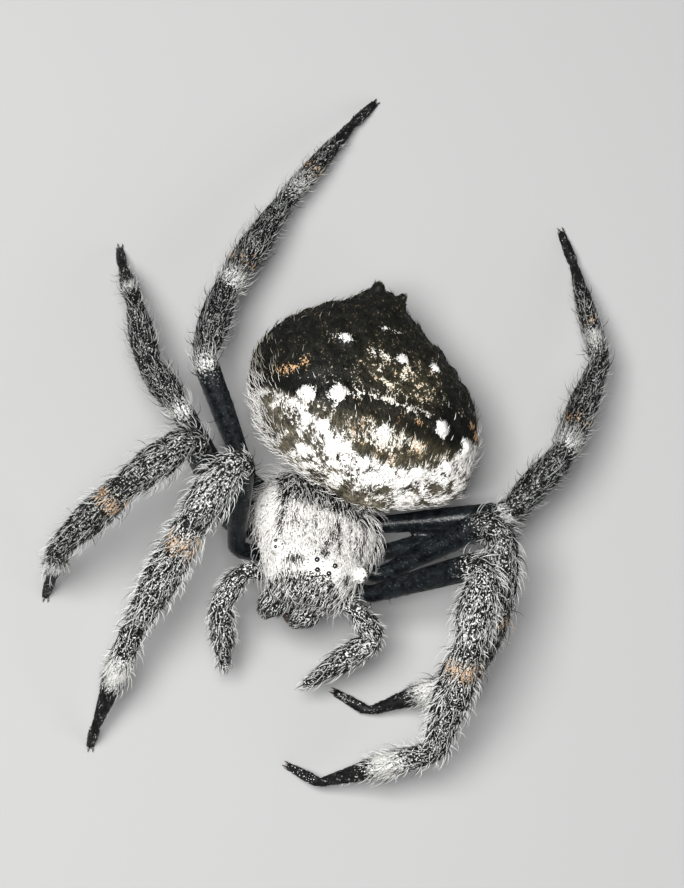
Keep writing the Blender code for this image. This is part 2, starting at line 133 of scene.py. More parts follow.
EYES = {                # middle and radius
    "eye_median_rear": ((0.52, -6.62, 3.06), 0.17),
    "eye_median_front": ((0.33, -7.06, 2.86), 0.17),
    "eye_side_rear": ((2.66, -5.84, 2.16), 0.12),
    "eye_side_front": ((2.58, -6.16, 2.10), 0.12),
}
EYE_KNOB = ((2.38, -5.95, 1.88), 0.42)
JAW_PATH = ((0.92, -6.95, -0.25), (0.95, -7.3, -1.3), (0.86, -7.25, -2.7))
JAW_RADII = (0.72, 0.88, 0.58)
COAT_ON_JAW = 0.08
FANG_PATH = ((0.80, -7.2, -2.85), (0.66, -7.05, -3.25), (0.38, -6.75, -3.5))
FANG_RADII = (0.3, 0.26, 0.14)
SPINNERETS = (0.0, 3.55, -3.58)
SPINNERET_LENGTH = 0.7
SPINNERET_RADIUS = 0.27

# ---- how the flesh is drawn -------------------------------------------------------------------

PALPS, JAWS = [tuple(f"{side}_{part}" for side in SIDES) for part in ("palp", "jaw")]
TINY = 1e-9
ARC_STEP = 16           # degrees of a rounded corner between every other ring
ARC_ROOM = 0.44         # share of a podomere that its corner may take
LEAST_BEND = 4          # degrees
RING_SPACING = 0.16
DOME_RINGS = (25, 50, 70, 84)   # degrees up the dome that rounds off an end
ABDOMEN_ROWS, ABDOMEN_COLUMNS, ABDOMEN_DOMES = 150, 150, (0.25, 0.35)
CARAPACE_ROWS, CARAPACE_DOMES = 110, (0.2, 0.3)
STERNUM_ROWS, STERNUM_COLUMNS, STERNUM_DOMES = 40, 40, (0.3, 0.3)
STERNUM_RIM = 0.05
KEEL_POWER = 0.7        # how full the sternum is
PEDICEL_PATH = ((0, -0.6), (0.25, 2.6))
PEDICEL_SINK = 0.35     # below the pedicel's own height
SPINNERET_WAY = (0, 0.55, -0.83)
SPINNERET_MOUND = (0.3, (0.78, 0.66), 0.1)                  # height, radii and dome
SPINNERET_ROWS = ((-0.38, -0.1), (0.05, 0.2), (0.42, 0.45))     # place and lean along the body
SPINNERET_TAPER = (1.0, 0.9, 0.5)
SPINNERET_GAP = 0.36
SPINNERET_SPLAY = 0.12
SPINNERET_SINK = 0.15
SPINNERET_DOME = 0.08
VOXEL = 0.15            # of the skin
SOLE = 0.03             # height of the skin under a foot
LENS_SIZE = 0.88        # share of an eye's radius in the solids
CLAW_STEPS = ((0.0, 0.08, 0.04), (0.30, 0.05, 0.03), (0.10, 0.0, -0.14))    # forward, out and up
CLAW_RADII = (0.055, 0.045, 0.018)

# ---- surface forms, markings and coats --------------------------------------------------------

KNOBS = (               # white knobs of the abdomen: place in its frame and size
    (-4.75, -1.6, 1.0), (4.57, -2.1, 1.0), (-3.3, -1.35, 1.0), (2.78, -1.67, 1.0), (-3.25, 1.93, 0.6),
    (2.02, 1.72, 0.7), (3.66, -3.6, 0.9), (-0.47, -2.8, 0.9), (0.03, 1.56, 0.7), (1.97, -4.34, 0.8),
    (-1.05, -4.66, 0.9), (-3.7, -3.2, 0.9),
)
KNOB_HEIGHT = 0.42
KNOB_REACH = 0.36       # for a knob of size 1, as the next three are
KNOB_BARE = 0.5         # reach of its bare top
KNOB_WHITE = 0.66       # reach of its white
KNOB_FOOT = 0.85
KNOB_TOP = 0.3          # share of a reach that is covered in full
SIGILLA = ((0.9, -1.9, 0.12), (1.3, 0.3, 0.12), (1.1, 2.4, 0.1))    # dimples: place and depth
SIGILLA_REACH = 0.3
FINE_LUMPS, BROAD_LUMPS = (0.05, 0.55, 3), (0.10, 1.6, 9)       # height, size and seed
CARAPACE_LUMPS = (0.03, 0.5, 5)
FOLD_HEIGHT = 0.07      # of the bowed folds across the abdomen's rear half
FOLD_PITCH = 3.4        # radians for each mm
FOLD_BOW = 0.14
EYE_RISE = 0.02         # of the skin round an eye over the carapace's own surface
EYE_BARE = 0.42         # reach of that rise
GROOVE_SPREAD = 0.75    # of the furrows between head and thorax
GROOVE_START = -2.3
GROOVE_DEPTH = 0.12
GROOVE_WIDTH = 0.2
PIT_DEPTH = 0.16        # where the furrows meet
PIT_REACH = 0.4
PIT_NARROW = 1.6

# Where each zone begins and where it is full, as a place, a height, a gap or a share.
ZONES = {
    # the flesh
    "abdomen_swells": (0, 1.5), "folds_front": (0.5, 2.5), "folds_rear": (5.9, 4.6),
    "carapace_swells": (0.2, 0.9), "furrows_front": (-5.6, -4.6), "furrows_rear": (-2.2, -3.0),
    # markings of the abdomen; the white front and the streaks go by the bands' edges
    "abdomen_top": (0.3, 1.8), "belly": (-1.0, -2.5), "white_front": (0.45, 0.1),
    "white_foot": (-3.4, -0.5), "front_edge": (-0.7, -1.4), "centre_right": (-3.3, -2.7),
    "centre_left": (2.4, 1.9), "streaks_front": (0.2, 0.5), "streaks_rear": (0.1, -0.5),
    "saddle_right": (-3.2, -0.9), "saddle_left": (3.0, 1.3), "rear": (-1.2, -0.6),
    "rear_fade": (1.2, -0.6), "grey_top": (-0.9, -0.1), "grey_flank": (-0.9, 0.3),
    "speckled": (-1.3, -0.5),
    # markings of the carapace
    "face": (-6.95, -7.35), "hem": (0.5, 0.0), "shell_rear": (-3.1, -2.5), "shell_middle": (2.9, 2.3),
    "seam_rear": (-2.2, -2.8), "seam_front": (-5.3, -4.6), "side_eyes": (1.2, 2.2),
    # markings of the legs, by the share along a podomere, its height round it, or a mark's pale
    "front_feet": (0.5, 0.6), "rear_feet": (0.6, 0.9), "femur_hair": (0.80, 0.97),
    "joint_hair": (0.0, 0.05), "leg_top": (-0.4, 0.5), "ring": (0.3, 0.66),
    # the coat of the limbs
    "femur_down": (0.80, 0.95), "joint_down": (0.0, 0.035), "femur_bristles": (0.86, 0.97),
    # the coat of the carapace
    "bare_round_eyes": (0.30, 0.20), "short_round_eyes": (0.25, 0.9), "clear_of_eyes": (0.3, 0.6),
    "face_down": (-6.9, -7.5), "long_down": (-5.5, -3.5), "shell_side": (2.5, 3.0),
    "shell_margin": (0.7, 0.1), "parted": (1.6, 3.2), "margin": (1.1, 0.2),
    "behind_face": (-7.5, -6.5), "rim": (-3.3, -2.7),
    # the coat of the abdomen
    "front_down": (0.5, -2.5), "front_down_foot": (-2.5, 0), "thin_below": (-1, -3),
    "knob_tops": (0.5, 2), "fringe_front": (1.4, -1.2), "fringe_rear": (7.4, 6.2),
}

# Bands across the abdomen: distances along it at points across it.
WHITE_BAND = ((-6.5, -5.5, -4.3, -2.9, -2.0, -1.1, 0.4, 1.4, 2.5, 3.6, 4.6, 5.5),
              (-1.3, -1.9, -2.7, -3.5, -4.1, -4.6, -4.65, -4.5, -4.25, -3.5, -2.2, -1.7))
DARK_BAND = ((-3.0, -1.1, 0.5, 1.9), (-1.85, -1.87, -2.15, -2.4))
DARK_BAND_REACH = 0.42
PALE_LINE = ((-2.1, -0.4, 0.8, 1.8), (-1.2, -1.08, -1.3, -1.25))
PALE_LINE_REACH = 0.29
SADDLE = (0.2, 1.5)     # middle and reach of the pale saddle, along the abdomen
# Blotches of the abdomen: place and reach in its frame, and what they add to pale or gold.
PALE_BLOTCHES = (
    (-3.25, 1.93, 0.5, 0.14, 0.8),
    (-1.5, 1.5, 0.35, 0.18, 0.5), (-0.75, 1.4, 0.35, 0.22, 0.5), (0.42, 1.1, 0.3, 0.2, 0.45),
    (-1.13, 0.65, 0.14, 0.2, 0.5), (-0.97, 0.08, 0.18, 0.14, 0.5), (-0.65, -0.19, 0.25, 0.14, 0.5),
    (0.18, 0.52, 0.16, 0.35, 0.5), (-1.1, 3.17, 0.25, 0.14, 0.55), (-0.38, 3.14, 0.25, 0.12, 0.4),
    (-3.15, -1.9, 0.3, 0.35, 0.6), (-0.2, -3.1, 0.7, 0.35, 0.4), (1.0, -3.0, 0.7, 0.4, 0.15),
    (-5.0, -4.1, 0.22, 0.75, -0.75), (-3.5, -3.4, 0.2, 0.16, -0.7), (-2.83, -2.8, 0.35, 0.4, -0.4),
    (-1.36, -3.84, 0.38, 0.28, -0.5), (-0.16, -4.0, 0.5, 0.2, -0.55), (0.82, -3.93, 0.3, 0.35, -0.45),
    (1.67, -3.7, 0.5, 0.3, -0.45), (2.51, -2.95, 0.45, 0.4, -0.4), (0.64, -5.5, 0.4, 0.14, -0.6),
    (-0.5, -6.2, 0.6, 0.35, -0.55), (-1.44, -5.9, 0.35, 0.3, -0.55), (0.5, -6.3, 0.35, 0.3, -0.5),
    (-3.0, -5.8, 0.6, 0.4, -0.15), (2.3, -5.2, 0.3, 0.14, -0.5), (-6.2, -2.0, 0.2, 0.5, -0.7),
    (-5.7, -2.6, 0.25, 0.45, -0.8), (-4.3, -5.0, 0.4, 0.2, -0.3), (-2.2, -5.2, 0.4, 0.2, -0.3),
    (3.3, -4.7, 0.4, 0.2, -0.4), (-5.5, -3.3, 0.2, 0.3, -0.5), (-4.1, -3.8, 0.2, 0.3, -0.4),
)
GOLD_BLOTCHES = (
    (-6.0, -0.3, 0.45, 0.22, 0.5), (-5.5, -0.15, 0.4, 0.2, 0.6), (-5.1, 0.15, 0.25, 0.18, 0.6),
    (4.85, -0.8, 0.3, 0.2, 0.7), (5.45, -1.05, 0.3, 0.3, 0.7), (-1.8, -2.86, 0.5, 0.3, 0.35),
    (1.5, -1.8, 0.4, 0.2, 0.35), (-2.06, -1.55, 0.4, 0.16, 0.4), (1.2, -3.3, 0.8, 0.3, 0.3),
)
SHELL_BLOTCHES = (      # partings and dark patches of the carapace, in its own frame
    (0.62, -3.7, 0.14, 0.7, -0.85), (0.3, -4.6, 0.13, 0.8, -0.85), (0.8, -4.9, 0.12, 0.7, -0.75),
    (0.0, -5.4, 0.14, 0.6, -0.8), (-1.5, -6.55, 0.4, 0.22, -1.1), (1.64, -6.65, 0.35, 0.22, -1.0),
    (-1.8, -3.9, 0.13, 0.8, -0.5), (1.9, -4.3, 0.14, 0.8, -0.6), (-0.7, -3.9, 0.12, 0.6, -0.5),
    (-0.1, -5.95, 0.28, 0.25, -0.6), (-1.2, -4.3, 0.1, 0.6, -0.4), (1.35, -3.6, 0.12, 0.6, -0.5),
)

# How much pale and gold each marking adds, or for a dark one takes away.
PALE = {
    "skin": 0.015, "front": 0.70, "front_edge": 0.2, "streaks": 0.38, "line": 0.38, "dark": 0.5,
    "saddle": 0.15, "rear": 0.05, "knob": 1.1, "shell": 0.92, "face": 0.56, "shell_rear": 0.72,
    "seam": 0.6, "eyes": 1.2,
}
GOLD = {"skin": 0.02, "streaks": 0.06, "saddle": 0.05, "blotch": 0.8}
USUAL = {"pale": 0.3, "gold": 0.0, "rough": 0.6, "speckle": 0.85}     # of skin without markings
PALE_ON_PALPS = 0.33
OLIVE_SADDLE = 0.5      # share of the front's ground colour on the saddle
STRAW_STREAKS = 0.6     # share of straw in the hair of the streaks
SPECKLE_ON_ABDOMEN = (0.3, 0.4)         # at the front, and what its rear adds
PLAIN_SADDLE = 0.7      # how much of that the saddle lacks
ABDOMEN_ROUGH = 0.55
SEAM_PLACE, SEAM_REACH = 2.35, 0.2      # of the bare line along each side of the carapace
EYE_HAIR = 0.22         # reach of the white hair round an eye

# Pale and gold marks of the legs: leg numbers, podomere, share along it, reach, pale, gold.
LEG_MARKS = (
    ((1, 2), METATARSUS, 0.37, 0.13, 0.66, 0.0), ((1, 2), TIBIA, 0.15, 0.08, 0.3, 0.44),
    ((4,), TIBIA, 0.10, 0.09, 0.5, 0.0), ((4,), METATARSUS, 0.17, 0.12, 0.45, 0.0),
    ((4,), TIBIA, 0.29, 0.06, 0.1, 0.22), ((4,), METATARSUS, 0.36, 0.05, 0.1, 0.22),
    ((3, 4), FEMUR, 0.97, 0.05, 0.5, 0.0), ((3,), METATARSUS, 0.3, 0.12, 0.5, 0.0),
)
PALE_ON_LEG = (0.30, 0.34, 0.31, 0.28, 0.08)
PALE_LEGS = (1.0, 1.02, 0.92, 0.9, 0.85)        # palps and legs 1 to 4
LEG_HAIR_SHADE = (0.0, 0.0, 0.4, 0.76, 0.8)          # painted shade: how far the hair of each pair is greyed, the rear pairs as if in shade
PALE_LOST = {"femur": 0.75, "foot": 0.85}       # share that a bare femur or a dark foot lacks
PALE_AT_JOINT = 0.4     # share that is left
FEMUR_GLOSS = 0.32      # how much less rough a bare femur is

# Tufts for each mm2, and where there are three numbers also length and lift in degrees.
DOWN_ON_LEG = (
    (4, 0.42, 9), (70, 0.46, 19), (70, 0.46, 19), (66, 0.38, 19), (62, 0.22, 14),
)
DOWN_ON_PALP = ((50, 0.34, 16), (60, 0.42, 18), (60, 0.50, 22))
DOWN_AT_JOINT = 0.3     # share that is left
FEMUR_END_DOWN = 44
RING_DOWN = (30, 0.25, radians(16))     # what a pale ring adds to density, length and lift
DOWN_ON_FORE_BODY = ((("carapace",), 125), (("sternum",), 45), (JAWS, 60))
SHELL_DOWN = {          # lengths, and lift in degrees
    "reach": 0.36, "rear_reach": 0.14, "face_reach": 0.1, "lift": 13, "margin_lift": 18,
}
HIND_DOWN = {           # usual number, and what the white front adds
    "density": (62, 22), "reach": (0.17, 0.17), "girth": (0.016, 0.002), "lift": (16, 4),
}
BELLY_DOWN_LOST = 20
KNOB_DOWN_LOST = 0.9
BRISTLES_ON_LEG = (0.2, 7.0, 6.5, 4.5, 0.8)
FEMUR_END_BRISTLES = 7
BRISTLES_ON_PALP = 6.0
BRISTLE_REACH = (0.72, 1.08)            # on palps and on legs
BRISTLES_ROUND = (0.12, 1.6)            # share on top of a limb, and what its flanks add
FLANK = (0.4, 1.7)      # height and reach of the abdomen's fringe
UPPER_HALF = 0.5        # height that parts the abdomen's down in two pieces
VARIETY = {2: (0.6, 1.4), 3: (0.65, 1.2), 4: (-1.3, -0.7)}     # of lift, reach and droop, by seed
SWEEP = 1.1             # of a tuft's tip along its lie, for each unit of droop
TUFT_ROOT = 0.8         # width of a tuft where it leaves the skin
KEPT = ("ground", "light", "pale", "gold", "speckle", "root", "chance", "tip", "OFBake")
PATCH = 0.003           # a tuft's size on the unwrapped skin

MARK_EDGE = 0.08        # softness of a mark's edge
PATCH_SIZES = (0.55, 0.19)
GROUND_MOTTLE = (0.3, 2.2)
SHADE_UNDER_COAT = 0.75        # painted shade: the skin under the coat is darkened, as if its hair shades it
ROOT_TO_TIP = (0.6, 1.0)
DARK_TO_LIGHT = (0.8, 1.0)      # from one tuft to another

COLOURS = {
    "femur": (0.006, 0.0075, 0.0085), "leg": (0.004, 0.004, 0.004), "tarsus": (0.005, 0.005, 0.005),
    "leg_hair": (0.90, 0.91, 0.88), "ring_hair": (0.92, 0.91, 0.87), "gold": (0.68, 0.42, 0.22),
    "carapace": (0.03, 0.028, 0.025), "white_hair": (0.96, 0.94, 0.90), "face": (0.007, 0.007, 0.007),
    "abdomen_rear": (0.0052, 0.0055, 0.0036), "abdomen_middle": (0.055, 0.047, 0.028),
    "abdomen_front": (0.12, 0.105, 0.075),
    "femur_hair": (0.05, 0.06, 0.07), "dark_band": (0.011, 0.010, 0.006),
    "straw_hair": (0.90, 0.84, 0.68), "grey_hair": (0.36, 0.34, 0.28),
    # painted shade: the grey that darkens the hair of the rear legs
    "shaded_leg_hair": (0.30, 0.31, 0.30),
    "belly": (0.045, 0.04, 0.03), "underside": (0.03, 0.027, 0.025),
}


# ---- holds and lines --------------------------------------------------------------------------

def turn(axis, angle):
    return Matrix.Rotation(radians(angle), 4, axis)


def fore_body_hold():
    return Matrix.Translation((0, 0, PEDICEL_HEIGHT)) @ turn("X", -HEAD_UP) @ turn("Y", RIGHT_SIDE_UP)


def hind_body_hold():
    held = turn("Z", ABDOMEN_TURN) @ turn("X", -ABDOMEN_FRONT_UP) @ turn("Y", ABDOMEN_ROLL)
    return Matrix.Translation(ABDOMEN_MIDDLE) @ held


def frame_shift():
    """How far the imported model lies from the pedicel's own place, read off one eye."""
    low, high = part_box("eye_median_rear_left")
    return (low + high) / 2 / MM - fore_body_hold() @ Vector(EYES["eye_median_rear"][0])


SHIFT = Matrix.Translation(frame_shift())
FORE = SHIFT @ fore_body_hold()
HIND = SHIFT @ hind_body_hold()


def mirrored(point, side):
    return Vector((point[0] * SIDES[side], point[1], point[2]))


def placed(hold, points):
    """Moves an array of points by a hold."""
    matrix = np.array(hold)
    return points @ matrix[:3, :3].T + matrix[:3, 3]


def blend(values, t):
    """The values at the shares t, from 0 to 1, of a smooth curve through evenly spaced values."""
    values = np.asarray(values, float)
    place = np.clip(np.asarray(t, float), 0, 1) * (len(values) - 1)
    i = np.minimum(place.astype(int), len(values) - 2)
    f = (place - i).reshape(place.shape + (1,) * (values.ndim - 1))
    a, b = values[i], values[i + 1]
    before = values[np.maximum(i - 1, 0)]
    after = values[np.minimum(i + 2, len(values) - 1)]
    eased = f * f * (3 - 2 * f)
    return a + (b - a) * eased + f * (1 - f) * ((b - before) * (1 - f) - (after - a) * f) / 2


def step(low, high, x):
    """0 below low, 1 above high, and smooth between."""
    t = np.clip((x - low) / (high - low), 0, 1)
    return t * t * (3 - 2 * t)


def zone(name, x):
    """0 outside a named zone and 1 well inside it."""
    return step(*ZONES[name], x)


def at_least(share, x):
    """x from 0 to 1, raised evenly so that it starts at a share."""
    return share + (1 - share) * x


def hump(x, middle, reach):
    """1 at the middle, falling to nothing about two reaches away."""
    return np.exp(-((x - middle) / reach) ** 2)


def round_angles(columns):
    return 2 * pi * (np.arange(columns) + 0.5) / columns


def direction(heading, rise):
    heading, rise = radians(heading), radians(rise)
    return Vector((cos(rise) * cos(heading), cos(rise) * sin(heading), sin(rise)))


def bend(corner, arrive, leave, radius):
    """Points and tangents of the arc that rounds a corner."""
    angle = arrive.angle(leave)
    inward = (leave - arrive).normalized()
    forward = (arrive + leave).normalized()
    middle = corner + inward * (radius / cos(angle / 2))
    steps = 2 * max(1, round(degrees(angle) / ARC_STEP))
    points = []
    for i in range(steps + 1):
        at = angle * (i / steps - 0.5)
        offset = forward * sin(at) - inward * cos(at)
        points.append((middle + offset * radius, forward * cos(at) + inward * sin(at)))
    return points


def podomere_lines(corners, radius):
    """Splits a limb's rounded middle line at its joints: one list of (point, tangent) for each run."""
    runs = [(b - a).normalized() for a, b in zip(corners, corners[1:])]
    lengths = [(b - a).length for a, b in zip(corners, corners[1:])]
    arcs = []
    for i in range(1, len(corners) - 1):
        room = ARC_ROOM * min(lengths[i - 1], lengths[i])
        angle = max(runs[i - 1].angle(runs[i]), radians(LEAST_BEND))
        arcs.append(bend(corners[i], runs[i - 1], runs[i], min(radius, room / tan(angle / 2))))
    lines = []
    for i, run in enumerate(runs):
        start = arcs[i - 1][len(arcs[i - 1]) // 2:] if i else [(corners[0], run)]
        end = arcs[i][: len(arcs[i]) // 2 + 1] if i < len(arcs) else [(corners[-1], run)]
        lines.append(spread(start + end))
    return lines


def spread(line, most=RING_SPACING):
    """Adds points along a middle line until none is further than most from the next."""
    full = [line[0]]
    for point, tangent in line[1:]:
        start, first = full[-1]
        steps = max(1, round((point - start).length / most))
        for k in range(1, steps):
            full.append((start.lerp(point, k / steps), first.lerp(tangent, k / steps).normalized()))
        full.append((point, tangent))
    return full


def leg_corners(side, number):
    corners = [FORE @ mirrored(place[number], side) for place in (COXA, TROCHANTER)]
    for (length, _), pose in zip(LEG_SIZES[number], LEG_POSES[side, number]):
        if len(pose) == 1:
            pose = (pose[0], degrees(asin((FOOT_HEIGHT - corners[-1].z) / length)))
        corners.append(corners[-1] + direction(*pose) * length)
    return corners


def leg_lines(side, number):
    """The middle lines of the podomeres; the femur's starts with the hip."""
    lines = podomere_lines(leg_corners(side, number), KNEE_RADIUS)
    return [lines[0][:-1] + lines[1]] + lines[2:]


def palp_lines(side):
    corners = [FORE @ mirrored(PALP_START, side)]
    for (length, _), pose in zip(PALP_SIZES, PALP_POSES[side]):
        corners.append(corners[-1] + direction(*pose) * length)
    return podomere_lines(corners, PALP_BEND)


# ---- forms: closed surfaces over rows of rings ------------------------------------------------


class Form:
    """A closed surface through rings of points; each ring has its part and its share along it."""

    def __init__(self, name, rings, part=0, share=None):
        self.name = name
        self.rings = np.asarray(rings, float)
        rows = len(self.rings)
        self.part = np.broadcast_to(part, rows)
        self.share = np.linspace(0, 1, rows) if share is None else np.asarray(share, float)

    def angle(self):
        """The angle round each ring, a quarter turn at its top."""
        return round_angles(self.rings.shape[1])

    def lie(self):
        """Unit vectors along the surface from its first ring to its last."""
        along = np.gradient(self.rings, axis=0)
        return along / np.maximum(np.linalg.norm(along, axis=2, keepdims=True), TINY)

    def faces(self, start):
        rows, columns = self.rings.shape[:2]
        index = start + np.arange(rows * columns).reshape(rows, columns)
        after = np.roll(index, -1, axis=1)
        quads = np.stack([index[:-1], after[:-1], after[1:], index[1:]], axis=-1).reshape(-1, 4)
        return quads.tolist() + [index[0][::-1].tolist(), index[-1].tolist()]


def outward(rings):
    """Unit normals of a surface through rings, pointing away from its middle line."""
    across = np.roll(rings, -1, axis=1) - np.roll(rings, 1, axis=1)
    normal = np.cross(across, np.gradient(rings, axis=0))
    normal /= np.maximum(np.linalg.norm(normal, axis=2, keepdims=True), TINY)
    away = rings - rings.mean(axis=1, keepdims=True)
    return normal * (1 if (normal * away).sum() > 0 else -1)


def domed(ring, way, depth):
    """Rings that round off an end of a surface; way points out of that end."""
    middle = ring.mean(axis=0)
    return [middle + (ring - middle) * cos(a) + np.array(way) * depth * sin(a)
            for a in map(radians, DOME_RINGS)]


def tube(name, lines, radii, depths, columns=28, dome=0.0):
    """A limb's flesh round its middle lines, narrowed at each joint; dome rounds its far end."""
    centres, tangents, girths, part, share = [], [], [], [], []
    for k, line in enumerate(lines):
        places = np.array([point for point, _ in line])
        gone = np.concatenate([[0], np.cumsum(np.linalg.norm(np.diff(places, axis=0), axis=1))])
        girth = blend(radii[k], gone / gone[-1]) - depths[k]
        if k:
            girth = girth * (1 - WAIST * hump(gone, 0, WAIST_LENGTH))
        if k < len(lines) - 1:
            girth = girth * (1 - WAIST * hump(gone, gone[-1], WAIST_LENGTH))
        kept = slice(1 if k else 0, None)
        centres.append(places[kept])
        tangents.append(np.array([tangent for _, tangent in line])[kept])
        girths.append(girth[kept])
        part.append(np.full(len(line), k)[kept])
        share.append((gone / gone[-1])[kept])
    rows = (centres, tangents, girths, part, share)
    centres, tangents, girths, part, share = map(np.concatenate, rows)
    up = np.array((0, 0, 1)) - tangents * tangents[:, 2:]
    up /= np.linalg.norm(up, axis=1, keepdims=True)
    side = np.cross(tangents, up)
    angle = round_angles(columns)
    spoke = side[:, None] * np.cos(angle)[:, None] + up[:, None] * np.sin(angle)[:, None]
    rings = list(centres[:, None] + spoke * girths[:, None, None])
    if dome:
        ends = domed(rings[-1], tangents[-1], dome)
        rings += ends
        part = np.append(part, [part[-1]] * len(ends))
        share = np.append(share, [1.0] * len(ends))
    return Form(name, rings, part, share)


def superellipse(angle):
    power = 2 / SQUARENESS
    return (np.abs(np.cos(angle)) ** power * np.sign(np.cos(angle)),
            np.abs(np.sin(angle)) ** power * np.sign(np.sin(angle)))


def loft(stations, outline, rows, front, rear):
    """Rings through sections along Y; outline draws one from its numbers; both ends are rounded."""
    numbers = blend(stations, np.linspace(0, 1, rows))
    rings = []
    for y, *section in numbers:
        x, z = outline(*section)
        rings.append(np.stack([x, np.full_like(x, y), z], axis=1))
    way = np.array((0, np.sign(numbers[-1, 0] - numbers[0, 0]), 0))
    return np.array(domed(rings[0], -way, front)[::-1] + rings + domed(rings[-1], way, rear))


def abdomen_outline(lean, half_width, top, bottom):
    across, height = superellipse(round_angles(ABDOMEN_COLUMNS))
    return lean + across * half_width, (top + bottom) / 2 + height * (top - bottom) / 2


def carapace_outline(half_width, crown, over=84, under=36):
    across, height = superellipse(np.linspace(0, pi, over))
    floor = np.linspace(-1, 1, under + 2)[1:-1] * half_width
    return (np.concatenate([across * half_width, floor]),
            np.concatenate([MARGIN + (crown - MARGIN) * height, np.full(under, MARGIN)]))


def sternum_outline(half_width, lowest):
    angle = np.linspace(0, 2 * pi, STERNUM_COLUMNS, endpoint=False)
    keel = np.clip(-np.sin(angle), 0, 1) ** KEEL_POWER
    return np.cos(angle) * half_width, MARGIN + STERNUM_RIM + (lowest - MARGIN) * keel


def lumps(points, height, size, seed):
    """Smooth swells and hollows of the given height and size at each point."""
    flat = points.reshape(-1, 3) / size + seed
    return height * np.array([noise.noise(p) for p in flat.tolist()]).reshape(points.shape[:-1])


def make_abdomen_form():
    rings = loft(ABDOMEN, abdomen_outline, ABDOMEN_ROWS, *ABDOMEN_DOMES)
    x, y, z = np.moveaxis(rings, 2, 0)
    above = zone("abdomen_swells", z)
    swell = -COAT_ON_ABDOMEN + lumps(rings, *FINE_LUMPS) + lumps(rings, *BROAD_LUMPS) * above
    for knob_x, knob_y, size in KNOBS:
        knob = hump(np.hypot(x - knob_x, y - knob_y), 0, KNOB_REACH * size)
        swell += KNOB_HEIGHT * size * knob * above
    for dimple_x, dimple_y, depth in SIGILLA:
        for side in SIDES.values():
            swell -= depth * hump(np.hypot(x - side * dimple_x, y - dimple_y), 0, SIGILLA_REACH) * above
    folds = np.sin(FOLD_PITCH * (y - FOLD_BOW * x * x)) * zone("folds_front", y) * zone("folds_rear", y)
    swell += FOLD_HEIGHT * folds * above
    return Form("abdomen", placed(HIND, rings + outward(rings) * swell[..., None]))


def eye_distance(points, to_middle=False):
    """How far each place of the fore body is from the nearest eye's surface, or from its middle."""
    gaps = [np.linalg.norm(points - np.array(mirrored(middle, side)), axis=-1) - radius * (not to_middle)
            for middle, radius in EYES.values() for side in SIDES]
    return np.min(gaps, axis=0)


def make_carapace_form():
    rings = loft(CARAPACE, carapace_outline, CARAPACE_ROWS, *CARAPACE_DOMES)
    x, y, z = np.moveaxis(rings, 2, 0)
    above = zone("carapace_swells", z)
    groove = np.abs(np.abs(x) - GROOVE_SPREAD * (GROOVE_START - y))
    near_eyes = hump(eye_distance(rings, to_middle=True), 0, EYE_BARE)
    swell = -COAT_ON_CARAPACE + (COAT_ON_CARAPACE + EYE_RISE) * near_eyes
    furrow = GROOVE_DEPTH * hump(groove, 0, GROOVE_WIDTH)
    swell -= furrow * zone("furrows_front", y) * zone("furrows_rear", y) * above
    swell -= PIT_DEPTH * hump(np.hypot(x * PIT_NARROW, y - GROOVE_START), 0, PIT_REACH) * above
    swell += lumps(rings, *CARAPACE_LUMPS)
    return Form("carapace", placed(FORE, rings + outward(rings) * swell[..., None]))


def make_ball_form(name, middle, radius, columns=20, rows=12, pole=0.15):
    angle = np.linspace(0, 2 * pi, columns, endpoint=False)
    rings = [np.stack([np.cos(angle) * sin(a), np.sin(angle) * sin(a), np.full(columns, cos(a))], axis=1)
             for a in np.linspace(pole, pi - pole, rows)]
    return Form(name, np.array(rings) * radius + np.array(middle))


def path_line(points, most=RING_SPACING):
    """A line with tangents through a few points."""
    points = [Vector(p) for p in points]
    ways = [(b - a).normalized() for a, b in zip(points, points[1:])]
    tangents = [ways[0]] + [(a + b).normalized() for a, b in zip(ways, ways[1:])] + [ways[-1]]
    return spread(list(zip(points, tangents)), most)


def make_cusp_forms():
    depth = COAT_ON_ABDOMEN / 2
    return [tube("abdomen", [path_line([HIND @ Vector(start), HIND @ Vector(tip)])],
                 [(radii[0] - depth, radii[1] - depth)], [0], dome=radii[1] - depth)
            for start, tip, radii in CUSPS]


def make_spinneret_forms():
    """The mound under the abdomen's tip and its six spinnerets."""
    base = Vector(SPINNERETS)
    down = Vector(SPINNERET_WAY).normalized()
    height, radii, dome = SPINNERET_MOUND
    lines = [([base, base + down * height], radii, dome)]
    radii = tuple(SPINNERET_RADIUS * share for share in SPINNERET_TAPER)
    for side in SIDES.values():
        for along, lean in SPINNERET_ROWS:
            start = base + Vector((SPINNERET_GAP * side, along, 0)) + down * SPINNERET_SINK
            way = (down + Vector((SPINNERET_SPLAY * side, lean, 0))).normalized()
            lines.append(([start, start + way * SPINNERET_LENGTH], radii, SPINNERET_DOME))
    return [tube("spinnerets", [path_line([HIND @ p for p in points], 0.1)], [radii], [0], 18, dome)
            for points, radii, dome in lines]


def make_leg_form(side, number):
    radii = [size[1] for size in LEG_SIZES[number]]
    radii[FEMUR] = (COXA_RADIUS, *radii[FEMUR])
    form = tube(f"{side}_leg_{number}", leg_lines(side, number), radii, COAT_ON_LEG, dome=0.22)
    form.rings[..., 2] = np.maximum(form.rings[..., 2], SOLE)
    return form


def make_palp_form(side):
    radii = [size[1] for size in PALP_SIZES]
    return tube(f"{side}_palp", palp_lines(side), radii, COAT_ON_PALP, dome=0.3)


def make_jaw_form(side):
    line = path_line([FORE @ mirrored(p, side) for p in JAW_PATH])
    return tube(f"{side}_jaw", [line], [JAW_RADII], [COAT_ON_JAW], dome=0.25)


